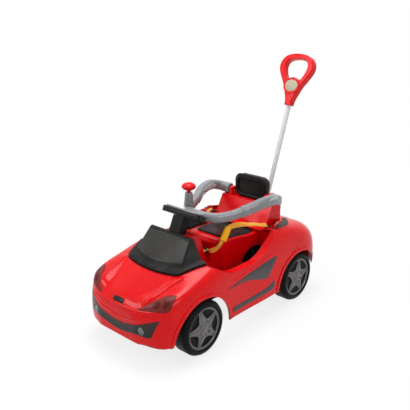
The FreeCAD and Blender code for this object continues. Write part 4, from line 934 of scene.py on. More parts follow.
class Palette:
    """Every finish of the car as a material, with the record's slot for each."""

    def __init__(self, kit: EffectKit) -> None:
        """Mixes the finishes.

        Args:
            kit: The shared node groups.
        """
        self.kit = kit
        self.red = self.coat("red_plastic", Moulding(
            "gloss_red_plastic", rgb(212, 2, 10), rgb(203, 1, 8), 0.24, rgb(232, 50, 44), grain=380.0,
            grain_depth=0.02, coat=0.08, coat_roughness=0.08, wear=0.25, dust=0.01, radius=0.002,
            specular=0.14))
        self.dark = self.coat("dark_plastic", Moulding(
            "satin_dark_plastic", rgb(15, 14, 13), rgb(19, 18, 17), 0.36, rgb(58, 56, 54), grain=1500.0,
            grain_depth=0.16, radius=0.0015, specular=0.11))
        self.black = self.coat("black_plastic", Moulding(
            "satin_black_plastic", rgb(19, 18, 17), rgb(24, 23, 22), 0.36, rgb(60, 58, 57), grain=1300.0,
            grain_depth=0.2, radius=0.0015, specular=0.16))
        # The lugs get the black plastic though their slot is grey plastic: painted shade in their recesses.
        self.lug = Coat(self.black.material, "grey_plastic")
        self.grey = self.coat("grey_plastic", Moulding(
            "silver_grey_plastic", rgb(136, 137, 140), rgb(122, 123, 126), 0.30, rgb(186, 187, 189),
            grain=1100.0, grain_depth=0.06, coat=0.1, metallic=0.2, wear=0.5, radius=0.0015))
        # The cowl panel is a lighter grey than the black cowl: a painted sheen of the sky on its front face.
        self.screen = self.coat("dark_plastic", Moulding(
            "cowl_panel_grey", rgb(45, 44, 42), rgb(39, 38, 37), 0.34, rgb(76, 74, 72), grain=1500.0,
            grain_depth=0.12, radius=0.001, specular=0.18))
        self.grip = self.coat("grey_plastic", Moulding(
            "pale_grey_grip", rgb(172, 174, 177), rgb(160, 162, 165), 0.45, rgb(196, 197, 199), grain=1600.0,
            grain_depth=0.25, radius=0.0008))
        self.trim = self.coat("grey_plastic", Moulding(
            "wheel_grey_plastic", rgb(104, 102, 101), rgb(92, 90, 89), 0.30, rgb(176, 174, 172), grain=1100.0,
            grain_depth=0.06, coat=0.1, metallic=0.4, wear=0.7, radius=0.0012, specular=0.2))
        self.steel = self.coat("steel", Moulding(
            "turned_steel", rgb(170, 170, 172), rgb(150, 150, 152), 0.3, rgb(215, 215, 215), grain=900.0,
            grain_depth=0.1, metallic=1.0))
        self.rod = self.coat("rod_paint", Moulding(
            "pale_grey_paint", rgb(196, 196, 197), rgb(186, 186, 188), 0.25, rgb(150, 150, 150), grain=420.0,
            grain_depth=0.05, coat=0.3, wear=0.3))
        self.yellow = self.coat("buckle_yellow", Moulding(
            "buckle_yellow_plastic", rgb(250, 190, 6), rgb(243, 178, 4), 0.3, rgb(255, 220, 110), grain=900.0,
            grain_depth=0.08, coat=0.2))
        self.plate = self.coat("black_plastic", Moulding(
            "badge_black_gloss", rgb(14, 13, 13), rgb(19, 18, 18), 0.18, rgb(84, 84, 84), grain=500.0,
            coat=0.1, specular=0.15))
        self.spot = self.coat("grey_plastic", PrintedFilm(
            "pale_sticker", rgb(176, 168, 142), rgb(196, 188, 162), rgb(104, 98, 80), 7.0, 1.0,
            rgb(176, 168, 142), print_strength=0.7))
        self.side_film = self.coat("dark_plastic", PrintedFilm(
            "side_grey_film", rgb(82, 79, 80), rgb(64, 62, 63), rgb(46, 45, 46), 70.0, 0.16,
            rgb(128, 40, 40), 0.3))
        self.sill_film = self.coat("dark_plastic", PrintedFilm(
            "sill_grey_film", rgb(74, 72, 72), rgb(60, 58, 58), rgb(44, 43, 43), 80.0, 0.1,
            rgb(86, 40, 40), 0.06))
        self.grille_film = self.coat("dark_plastic", PrintedFilm(
            "grille_film", rgb(38, 35, 33), rgb(52, 47, 44), rgb(22, 21, 20), 110.0, 0.12, rgb(70, 48, 46)))
        self.tail_film = self.coat("grey_plastic", PrintedFilm(
            "tail_lamp_film", rgb(96, 10, 14), rgb(150, 22, 24), rgb(60, 4, 8), 26.0, 0.5, rgb(120, 16, 18)))
        self.fog_film = self.coat("grey_plastic", PrintedFilm(
            "fog_lamp_film", rgb(74, 74, 72), rgb(122, 120, 117), rgb(50, 50, 49), 14.0, 1.0, rgb(90, 88, 86),
            tip_share=0.05, print_strength=0.3, roughness=0.16, coat=0.5))
        # The headlamp's last colour, glow, is a painted highlight.
        self.lamp_film = self.coat("grey_plastic", LampFilm(
            "headlamp_film", rgb(84, 30, 29), rgb(108, 38, 36), rgb(76, 24, 23), rgb(122, 60, 57)))
        self.orange = self.coat("webbing", WebbingFinish(
            "orange_webbing", rgb(255, 180, 16), rgb(222, 132, 6)))

    def coat(self, slot: str, finish: Finish) -> Coat:
        """A finish mixed into a material, with its slot."""
        return Coat(finish.material(self.kit), slot)

    def tyre(self, node: str) -> Material:
        """The black finish of one wheel, centred on its axle."""
        low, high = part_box(node)
        return TyreFinish(f"{node}_black", tuple((low + high) / 2)).material(self.kit)


def paint(piece: Piece, material: Material) -> None:
    """Gives a piece or a CAD node one material in all its slots."""
    if not piece.material_slots:
        piece.data.materials.append(material)
    for held in piece.material_slots:
        held.material = material


@dataclass
class Workshop:
    """What each sub-assembly works with: the frame's nodes and the palette."""

    nodes: dict[str, Piece]
    palette: Palette

    def keep(self, piece: Piece, body: str, coat: Coat) -> None:
        """Paints a new piece and lets it ride.

        Args:
            piece: The finished piece.
            body: The body that carries it.
            coat: Its material and slot.
        """
        material, slot = coat
        paint(piece, material)
        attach(piece, body)
        LOG.info("%s rides on %s", piece.name, body)

    def lay(self, patch: SkinPatch, body: str, coat: Coat) -> None:
        """Lays a patch and keeps it, with its copy on the right side if it is one of a pair.

        Args:
            patch: The patch to lay, on the left side if it is one of a pair.
            body: The body that carries it.
            coat: Its material and slot.
        """
        pieces = [patch.build(self.nodes)]
        if patch.pair:
            pieces[0].name = f"{patch.name}_left"
            pieces.append(mirrored_copy(pieces[0], f"{patch.name}_right"))
        for piece in pieces:
            self.keep(piece, body, coat)


@dataclass
class NodeFinishes:
    """The finishes of the CAD nodes, by the slot that the record gives each."""

    shop: Workshop
    subparts: Sequence[dict[str, str]]

    def dress(self) -> None:
        """Paints every CAD node by the work it does."""
        palette = self.shop.palette
        coats = (palette.red, palette.dark, palette.black, palette.grey, palette.steel, palette.rod,
                 palette.orange, palette.yellow)
        finishes = {coat.slot: coat.material for coat in coats}
        for entry in self.subparts:
            name = entry["node"]
            node = self.shop.nodes[name]
            if entry["material_slot"] == "wheel_black":
                paint(node, palette.tyre(name))
            elif name.endswith("_trim"):
                paint(node, palette.trim.material)
            else:
                paint(node, finishes[entry["material_slot"]])


@dataclass
class BodyDress:
    """Films, lamps and shallow mouldings on the outer body."""

    shop: Workshop
    proud: float = 0.6
    crease: float = 1.6
    crease_rise: float = 5.6

    def build(self) -> None:
        """Lays every piece of the body's dress."""
        self.bonnet()
        self.nose()
        self.sides()
        self.deck()
        self.tail()

    def lay(self, coat: Coat, name: str, facing: Facing, *shape: object, **settings: object) -> None:
        """Lays one patch on the body.

        Args:
            coat: Its material and slot.
            name: The patch's name.
            facing: Where it is laid from.
            shape: Its edges, relief, rise, columns and rows, as SkinPatch takes them.
            settings: Its other settings.
        """
        self.shop.lay(SkinPatch(name, "body_shell", facing, *shape, **settings), "car", coat)

    def bonnet(self) -> None:
        """The two long creases of the bonnet, and the brow crease."""
        red = self.shop.palette.red
        inner = [(96, -290), (90, -310), (82, -338), (77, -371), (71, -396), (62, -414)]
        outer = [(137, -286), (131, -306), (124, -337), (120, -374), (111, -405), (94, -426)]
        self.lay(red, "bonnet_crease", Facing.ABOVE, outer, inner, Relief.CREASE, self.crease_rise, 80, 40,
                 ramp=0.76, smoothing=6, pair=True)
        brow = both_ways([(0, 48), (19, 48), (45, 49), (77, 51), (102, 55), (135, 62), (158, 68)])
        self.lay(red, "brow_crease", Facing.BROW, beside(brow, 7), beside(brow, -7), Relief.RIDGE,
                 self.crease, 120, 14, smoothing=8)

    def nose(self) -> None:
        """Headlamps, grille band, fog lamps, bumper crease and the bare badge plate."""
        palette = self.shop.palette
        top = [(-230, -1), (-204, 11), (-177, 26), (-154, 35), (-136, 39), (-119, 37)]
        low = [(-230, -4), (-203, -6), (-176, -7), (-155, -8), (-139, -5)]
        self.lay(palette.lamp_film, "headlamp", Facing.LAMP, top, low, Relief.LENS, 1.6, 56, 24, pair=True)
        top = both_ways([(0, 116), (30, 118), (68, 126), (101, 137), (128, 148), (147, 155)])
        low = both_ways([(0, 90), (30, 92), (59, 97), (88, 100), (113, 98), (127, 101)])
        self.lay(palette.grille_film, "grille_band", Facing.NOSE, top, low, Relief.FILM, self.proud, 120, 14)
        top = [(86, 117), (91, 124), (96, 126), (102, 121), (107, 112)]
        low = [(86, 115), (90, 106), (95, 102), (101, 103), (107, 110)]
        self.lay(palette.fog_film, "fog_lamp", Facing.NOSE, top, low, Relief.LENS, 2.4, 24, 20, pair=True)
        bumper = both_ways([(0, 132), (28, 134), (69, 141), (101, 148), (138, 158), (154, 164)])
        self.lay(palette.red, "bumper_crease", Facing.NOSE, beside(bumper, 6), beside(bumper, -7),
                 Relief.RIDGE, self.crease, 120, 14, smoothing=8)
        top = [(-22, -59), (-21, -55), (-18, -54), (0, -54), (18, -54), (21, -55), (22, -59)]
        low = [(-22, -63), (-21, -67), (-18, -68), (0, -68), (18, -68), (21, -67), (22, -63)]
        self.lay(palette.plate, "badge_plate", Facing.BADGE, top, low, Relief.LENS, 2.4, 40, 16)

    def sides(self) -> None:
        """Side intake films, sill films and the crease above them."""
        palette = self.shop.palette
        top = [(-164, 171), (-130, 175), (-97, 180), (-58, 186), (-16, 192), (25, 199), (66, 203), (77, 202)]
        low = [(-160, 167), (-120, 166), (-84, 165), (-59, 162), (-20, 151), (13, 142), (31, 143)]
        self.lay(palette.side_film, "side_intake", Facing.LEFT, top, low, Relief.FILM, self.proud, 80, 14,
                 pair=True)
        top = [(-141, 100), (-110, 101), (-71, 101), (-32, 102), (8, 105), (34, 110), (63, 122)]
        low = [(-139, 83), (-110, 84), (-70, 85), (-31, 86), (9, 88), (49, 90), (66, 98)]
        self.lay(palette.sill_film, "sill_film", Facing.LEFT, top, low, Relief.FILM, self.proud, 80, 8,
                 pair=True)
        crease = [(-150, 181), (-97, 188), (-58, 194), (-16, 200), (25, 207), (66, 211), (92, 212)]
        self.lay(palette.red, "side_crease", Facing.LEFT, beside(crease, 6), beside(crease, -6), Relief.RIDGE,
                 self.crease, 90, 14, smoothing=8, pair=True)

    def deck(self) -> None:
        """Louvred vents on the deck round the backrest's foot, and the red lip and kerb beside them."""
        palette = self.shop.palette
        outer = [(154, 96), (158, 112), (156, 138), (148, 174), (119, 214), (92, 244)]
        inner = [(144, 96), (135, 112), (124, 136), (112, 164), (112, 196), (86, 226)]
        self.lay(palette.black, "deck_vent", Facing.ABOVE, outer, inner, Relief.LOUVRE, 2.4, 90, 14,
                 louvres=9, pair=True)
        lip = [(153, 98), (158, 112), (157, 138), (150, 174), (122, 216), (98, 244)]
        self.lay(palette.red, "vent_lip", Facing.ABOVE, [(x + 5, y + 1) for x, y in lip],
                 [(x - 4, y) for x, y in lip], Relief.RIDGE, 3.0, 90, 12, smoothing=4, pair=True)
        kerb = [(144, 97), (137, 112), (126, 136), (115, 164), (114, 184)]
        self.lay(palette.red, "vent_kerb", Facing.ABOVE, [(x + 10, y) for x, y in kerb], kerb, Relief.RIDGE,
                 9.0, 60, 14, smoothing=3, pair=True)

    def tail(self) -> None:
        """Tail lamp films and a rear diffuser band."""
        palette = self.shop.palette
        top = [(-150, 186), (-128, 196), (-104, 200), (-82, 198)]
        low = [(-146, 172), (-126, 172), (-104, 176), (-84, 188)]
        self.lay(palette.tail_film, "tail_lamp", Facing.TAIL, top, low, Relief.LENS, 1.4, 40, 14, pair=True)
        top = both_ways([(0, 128), (50, 128), (84, 132), (112, 140)])
        low = both_ways([(0, 102), (50, 102), (80, 102), (100, 106)])
        self.lay(palette.grille_film, "tail_band", Facing.TAIL, top, low, Relief.FILM, self.proud, 90, 10)


@dataclass
class CockpitDress:
    """The cowl's inset panel with its painted sheen, the saddle's pad and rolled edge, and the black pockets
    of painted shade behind the foot arches.
    """

    shop: Workshop
    pad_lift: float = 0.4
    pad_ends: float = 1.8
    pad_crown: float = 7.0
    pad_crown_run: float = 0.12
    pad_dish: float = 4.0
    pad_dish_start: float = 0.1
    pad_dish_run: float = 0.6
    pad_skin: float = 0.6
    rim_radius: float = 0.0058
    rim_sides: int = 12
    pocket_middle: Point = (0.0758, 0.1523)
    pocket_radius: float = 0.0612
    pocket_span: Point = (0.050, 0.082)
    pocket_insets: Sequence[Point] = ((0.012, 0.0), (0.004, 0.006))
    pocket_wall: float = 0.0015

    def build(self) -> None:
        """Makes every piece."""
        self.cowl_panel()
        self.seat_pad()
        self.saddle_rim()
        self.pockets()

    def cowl_panel(self) -> None:
        """The flat panel in the windscreen cowl's front, in a lighter grey than the black cowl as painted
        sheen.
        """
        top = [(-84, 219), (-42, 221), (0, 221.5), (42, 221), (84, 219)]
        low = [(-95, 151), (-52, 142), (0, 138), (52, 142), (95, 151)]
        self.shop.lay(SkinPatch("cowl_panel", "windscreen_cowl", Facing.SCREEN, top, low, Relief.PANEL, 1.2,
                                60, 40, 4.0), "car", self.shop.palette.screen)

    def seat_pad(self) -> None:
        """The dished black pad on the saddle, in place of its CAD panel."""
        halves = [(-50, 40), (-47, 52), (-41, 61), (-30, 67), (0, 71), (31, 74), (66, 78), (76, 77), (82, 71)]
        bed = [(-50, 265.4), (-20, 261.7), (12, 258.5), (40, 256), (70, 256.8), (82, 258.6)]
        pad = grid("seat_pad", 56, 40)
        for vertex in pad.data.vertices:
            share, across = vertex.co.x + 0.5, vertex.co.y * 2
            y, half = line_point(halves, share)
            edge = min(1 - abs(across), min(share, 1 - share) * self.pad_ends)
            crown = self.pad_crown * smooth_step(edge / self.pad_crown_run)
            dish = self.pad_dish * smooth_step((edge - self.pad_dish_start) / self.pad_dish_run)
            height = line_point(bed, share).y + self.pad_lift + crown - dish
            vertex.co = (half * across * MM, y * MM, height * MM)
        add_modifier(pad, "SOLIDIFY", thickness=self.pad_skin * MM, offset=-1.0)
        close_up(pad, 60.0)
        self.shop.keep(pad, "car", self.shop.palette.black)
        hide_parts("seat_panel")

    def saddle_rim(self) -> None:
        """The rolled edge round the saddle and its pommel."""
        half = [(89.5, 87, 262), (87, 71, 253.5), (80.5, 41, 252.5), (76.7, 22, 254), (74, -20, 258),
                (70.6, -70, 264), (63, -79, 264.5), (54, -86, 258), (30, -88, 257), (0, -88.5, 257)]
        turns = [math.tau * number / self.rim_sides for number in range(self.rim_sides)]
        section = [(self.rim_radius * math.cos(turn), self.rim_radius * math.sin(turn)) for turn in turns]
        self.shop.keep(sweep("saddle_rim", across_car(half), section, 220), "car", self.shop.palette.red)

    def pockets(self) -> None:
        """A blind black pocket behind each foot arch of the saddle, as painted shade that darkens the hollow.
        """
        inner, outer = self.pocket_span
        pocket = cylinder("foot_pocket_left", 72, self.pocket_radius, outer - inner,
                          ((inner + outer) / 2, *self.pocket_middle))
        with picking(pocket, (1.0, 0.0, 0.0)):
            bpy.ops.mesh.delete(type="FACE")
        with picking(pocket, (-1.0, 0.0, 0.0)):
            inset_steps(self.pocket_insets)
        add_modifier(pocket, "SOLIDIFY", thickness=self.pocket_wall, offset=1.0)
        close_up(pocket)
        for piece in (pocket, mirrored_copy(pocket, "foot_pocket_right")):
            self.shop.keep(piece, "car", self.shop.palette.black)


@dataclass
class GuardRing:
    """The guard ring with a flat-topped bar and thicker rear arms, in place of its CAD bar."""

    shop: Workshop
    half: Sequence[Place] = ((88.4, 161.0, 353.8), (106.9, 159.1, 354.2), (122.8, 148.3, 359.3),
                             (130.0, 130.5, 365.3), (132.0, 106.2, 370.05), (127.4, 73.4, 370.05),
                             (118.8, 38.3, 364.05), (103.0, 5.6, 354.05), (88.4, -28.6, 346.3),
                             (73.9, -59.9, 342.55), (55.4, -87.6, 342.55), (29.0, -101.6, 345.05),
                             (0.0, -104.4, 345.05))
    section: Sequence[Point] = ((-8.0, -16.0), (8.0, -16.0), (12.5, -12.5), (14.0, -8.0), (14.0, 7.0),
                                (12.6, 11.5), (9.0, 16.0), (-9.0, 16.0), (-12.6, 11.5), (-14.0, 7.0),
                                (-14.0, -8.0), (-12.5, -12.5))
    joint: float = -0.008
    joint_step: float = 0.002
    slim: float = 0.87
    peg: Place = (0.0977, 0.1605, 0.3305)
    peg_radius: float = 0.0058
    peg_length: float = 0.032
    peg_round: float = 0.001

    def build(self) -> None:
        """Makes the ring, its pegs and its grips."""
        section = [(x * MM, z * MM) for x, z in self.section]
        pieces = [sweep("guard_ring_bar", across_car(self.half), section, 300, self.fullness)]
        x, y, z = self.peg
        for place in ((x, y, z), (-x, y, z)):
            pieces.append(cylinder("guard_peg", 32, self.peg_radius, self.peg_length, place, lying=False))
            round_edges(pieces[-1], self.peg_round, 2, 30.0)
        ring = joined(pieces)
        close_up(ring, 30.0)
        self.shop.keep(ring, "guard", self.shop.palette.grey)
        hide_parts("guard_ring")
        self.shop.nodes["guard_ring_bar"] = ring
        self.grips()

    def fullness(self, spot: Vector) -> float:
        """The bar's size at a place on it: full in the rear arms, slimmer in front of the joints."""
        return self.slim + (1.0 - self.slim) * smooth_step((spot.y - self.joint) / self.joint_step)

    def grips(self) -> None:
        """Pale boat-shaped grips, on the inner side and the outer edge of each of the ring's arms."""
        grip = self.shop.palette.grip
        top = [(34, 369), (50, 376), (70, 379.5), (95, 379.5), (112, 375), (119, 368)]
        low = [(34, 368), (48, 364), (68, 361.5), (95, 361), (112, 362), (119, 367)]
        self.shop.lay(SkinPatch("grip_inner", "guard_ring_bar", Facing.LEFT, top, low, Relief.PANEL, 0.9,
                                60, 14, 2.5, start=0.0, pair=True), "guard", grip)
        top = [(70, 226), (82, 230.5), (100, 234), (115, 232.5), (124, 228)]
        low = [(70, 225.5), (83, 225), (100, 224.5), (113, 223), (124, 227)]
        self.shop.lay(SkinPatch("grip_outer", "guard_ring_bar", Facing.GRIP, top, low, Relief.PANEL, 0.9,
                                50, 12, 2.5, pair=True), "guard", grip)


@dataclass
class SteeringYoke:
    """The steering wheel and its top plate with rounded corners and edges, in place of the CAD ones."""

    shop: Workshop
    corners: Sequence[Point] = ((69.7, -16.0), (83.0, -6.4), (83.0, 11.7), (72.2, 26.0), (58.1, 26.0),
                                (45.7, 15.6))
    middle: Place = (0.0, -0.1682, 0.366)
    tilt: float = 25.0
    thickness: float = 0.018
    rounds: Point = (0.009, 0.005)
    plate: float = 0.005
    plate_share: float = 0.86
    plate_rounds: Point = (0.007, 0.0022)

    def build(self) -> None:
        """Makes the wheel and the plate."""
        palette = self.shop.palette
        wheel = self.slab("steering_yoke", 1.0, -self.thickness / 2, self.thickness, *self.rounds)
        self.shop.keep(wheel, "steering", palette.black)
        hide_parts("steering_wheel")
        top = self.slab("steering_plate", self.plate_share, self.thickness / 2, self.plate,
                        *self.plate_rounds)
        self.shop.keep(top, "steering", palette.grey)
        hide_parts("steering_top_plate")

    def slab(self, name: str, share: float, foot: float, height: float, corner: float,
             rim: float) -> Piece:
        """One slab of the yoke's outline.

        Args:
            name: The slab's name.
            share: The outline's size as a share of the wheel's.
            foot: Its lower face, from the wheel's middle.
            height: Its thickness.
            corner: The round of its corners.
            rim: The round of its edges.

        Returns:
            The finished slab, tilted as the wheel is.
        """
        left = [Vector(spot) * MM * share for spot in self.corners]
        edge = left + [Vector((-spot.x, spot.y)) for spot in reversed(left)]
        slab = extruded(name, [Vector((*spot, foot)) for spot in edge], Vector((0.0, 0.0, height)), corner)
        round_edges(slab, rim, 4, 60.0)
        slab.rotation_euler = (-math.radians(self.tilt), 0.0, 0.0)
        slab.location = self.middle
        settle(slab)
        close_up(slab, 35.0)
        return slab


@dataclass
class Headrest:
    """The padded-looking hard headrest, in place of its CAD block."""

    shop: Workshop
    corner: float = 0.027
    rim: float = 0.009
    waist: float = 0.92
    waist_ramp: float = 1.6
    wrap: float = 0.004
    insets: Sequence[Point] = ((0.007, 0.0), (0.003, -0.0025), (0.012, 0.0), (0.002, 0.0015))

    def build(self) -> None:
        """Shapes the headrest from a block."""
        low, high = (Vector(corner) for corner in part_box("headrest"))
        size = high - low
        clear_selection()
        bpy.ops.mesh.primitive_cube_add(size=1.0, location=(low + high) / 2)
        rest = named("headrest_shell")
        rest.scale = (size.x, size.y - self.wrap, size.z)
        settle(rest)
        self.round_corners(rest)
        round_edges(rest, self.rim, 5, 50.0)
        with picking(rest, (0.0, -1.0, 0.0), 0.95):
            inset_steps(self.insets)
        for vertex in rest.data.vertices:
            share = (vertex.co.z - low.z) / size.z
            beside_middle = vertex.co.x / (size.x / 2)
            vertex.co.x *= self.waist + (1 - self.waist) * smooth_step(share * self.waist_ramp)
            vertex.co.y += self.wrap * (beside_middle * beside_middle - 0.5)
        close_up(rest, 35.0)
        self.shop.keep(rest, "car", self.shop.palette.black)
        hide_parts("headrest")

    def round_corners(self, rest: Piece) -> None:
        """Rounds the four corners that show from the front."""
        with editing(rest):
            bpy.ops.mesh.select_mode(type="EDGE")
            bpy.ops.mesh.select_all(action="DESELECT")
        for edge in rest.data.edges:
            first, last = (rest.data.vertices[index].co for index in edge.vertices)
            edge.select = abs((last - first).normalized().y) > 0.9
        bpy.ops.object.mode_set(mode="EDIT")
        bpy.ops.mesh.bevel(offset=self.corner, segments=9, profile=0.5)
        bpy.ops.object.mode_set(mode="OBJECT")


@dataclass
class WheelDress:
    """Five-armed stars with ridges and lugs, in place of the four CAD trims."""

    shop: Workshop
    arms: int = 5
    turn: float = -15.0
    rear_turn: float = 25.0
    profile: Sequence[Point] = ((0.0, -1.5), (11.0, -1.5), (11.0, -6.9), (65.0, -6.9), (65.0, -2.9),
                                (63.6, -2.4), (61.8, -2.4), (60.6, -3.4), (59.6, -5.4), (57.5, -5.6),
                                (40.0, -4.2), (26.0, -2.8), (14.0, -2.4), (12.6, -1.6), (9.6, 0.2),
                                (0.0, 0.7))
    window: Sequence[Point] = ((0.0, 30.5), (4.0, 31.1), (8.5, 33.4), (15.0, 38.2), (22.0, 43.9),
                               (27.4, 48.4), (28.2, 49.6), (27.6, 50.9), (19.0, 54.7), (12.5, 56.5),
                               (6.3, 57.6), (0.0, 58.0))
    cut: Point = (-9.0, 5.0)
    rim: float = 0.4
    lug_reach: float = 21.0
    lug_radius: float = 3.6
    lug_height: float = 1.6
    lug_depth: float = -2.9
    lug_insets: Sequence[Point] = ((0.0006, 0.0), (0.0002, -0.0007))
    ridge: Sequence[Place] = ((23.0, 4.6, -2.8), (56.0, 2.8, -5.4))
    ridge_rise: float = 2.4
    ridge_round: float = 0.5

    def build(self) -> None:
        """Makes one wheel's star and details and copies them to the others."""
        low, high = (Vector(corner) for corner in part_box("front_left_wheel"))
        hub = Vector((high.x, (low.y + high.y) / 2, (low.z + high.z) / 2))
        between = self.turn + 180.0 / self.arms
        star = self.disc(hub)
        cut_out(star, self.around(self.cutter(hub, between), hub, "window_cutter"))
        close_up(star, 30.0)
        round_edges(star, self.rim * MM, 2, 50.0)
        close_up(star, 40.0)
        ridges = self.around(self.spoke_ridge(hub, self.turn), hub, "front_left_ridges")
        lugs = self.around(self.lug(hub, between), hub, "front_left_lugs")
        palette = self.shop.palette
        # The lugs are painted black as the shade in their recesses.
        for piece, coat in ((star, palette.trim), (ridges, palette.trim), (lugs, palette.lug)):
            self.copies(piece, hub, coat)
        for body in ("front_left", "front_right", "rear_left", "rear_right"):
            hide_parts(f"{body}_trim")

    @staticmethod
    def spot(hub: Vector, angle: float, reach: float, across: float, depth: float) -> Vector:
        """A place on the wheel.

        Args:
            hub: The wheel's middle, on its outer face.
            angle: The turn from straight up towards the rear, in degrees.
            reach: The way out from the hub, in millimetres.
            across: The way sideways from there, in millimetres.
            depth: The way out of the wheel's face, in millimetres.

        Returns:
            The place in the car's frame.
        """
        turn = math.radians(angle)
        out = Vector((0.0, math.sin(turn), math.cos(turn)))
        beside_it = Vector((0.0, math.cos(turn), -math.sin(turn)))
        return hub + (out * reach + beside_it * across + Vector((depth, 0.0, 0.0))) * MM

    def disc(self, hub: Vector) -> Piece:
        """The trim's dished disc with its lip and cap, turned about the axle."""
        rings = len(self.profile) - 1
        piece = grid("front_left_star", 120, rings)
        for vertex in piece.data.vertices:
            reach, depth = self.profile[round((vertex.co.y + 0.5) * rings)]
            vertex.co = self.spot(hub, (vertex.co.x + 0.5) * 360.0, reach, 0.0, depth)
        close_up(piece)
        return piece

    def cutter(self, hub: Vector, angle: float) -> Piece:
        """A block of the shape of one window between two arms."""
        edge = list(self.window) + [(-across, reach) for across, reach in reversed(self.window[1:-1])]
        back, front = self.cut
        piece = extruded("window", [self.spot(hub, angle, reach, across, back) for across, reach in edge],
                         Vector(((front - back) * MM, 0.0, 0.0)))
        close_up(piece)
        return piece

    def spoke_ridge(self, hub: Vector, angle: float) -> Piece:
        """One tapered ridge along the middle of an arm."""
        clear_selection()
        bpy.ops.mesh.primitive_cube_add(size=1.0)
        piece = named("spoke_ridge")
        for vertex in piece.data.vertices:
            reach, half, depth = self.ridge[vertex.co.y > 0]
            lift, taper = (self.ridge_rise, 0.5) if vertex.co.x > 0 else (-1.0, 1.0)
            side = taper if vertex.co.z > 0 else -taper
            vertex.co = self.spot(hub, angle, reach, half * side, depth + lift)
        add_modifier(piece, "BEVEL", width=self.ridge_round * MM, segments=3, limit_method="NONE")
        return piece

    def lug(self, hub: Vector, angle: float) -> Piece:
        """One lug recess: a low ring with a sunk middle."""
        piece = cylinder("lug", 24, self.lug_radius * MM, self.lug_height * MM,
                         self.spot(hub, angle, self.lug_reach, 0.0, self.lug_depth))
        with picking(piece, (1.0, 0.0, 0.0)):
            inset_steps(self.lug_insets)
        return piece

    def around(self, piece: Piece, hub: Vector, name: str) -> Piece:
        """Copies a detail round the hub and joins the copies.

        Args:
            piece: The detail at its first place.
            hub: The wheel's middle.
            name: The joined piece's name.

        Returns:
            The joined piece.
        """
        ring = [piece]
        for number in range(1, self.arms):
            ring.append(copy_of(piece, "copy"))
            with editing(ring[-1]):
                bpy.ops.transform.rotate(value=math.tau * number / self.arms, orient_axis="X",
                                         center_override=hub)
        joined(ring)
        close_up(named(name))
        return piece

    def copies(self, piece: Piece, hub: Vector, coat: Coat) -> None:
        """Keeps a detail on the front left wheel and puts a copy on each other one.

        Args:
            piece: The detail on the front left wheel.
            hub: That wheel's middle.
            coat: Its material and slot.
        """
        kind = piece.name.split("_")[-1]
        low, high = (Vector(corner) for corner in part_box("rear_left_wheel"))
        rear = copy_of(piece, f"rear_left_{kind}")
        bpy.ops.transform.rotate(value=math.radians(self.rear_turn), orient_axis="X", center_override=hub)
        bpy.ops.transform.translate(value=(0.0, (low.y + high.y) / 2 - hub.y, 0.0))
        settle(rear)
        made = {"front_left": piece, "rear_left": rear}
        for end in ("front", "rear"):
            made[f"{end}_right"] = mirrored_copy(made[f"{end}_left"], f"{end}_right_{kind}")
        for body, copy in made.items():
            self.shop.keep(copy, body, coat)


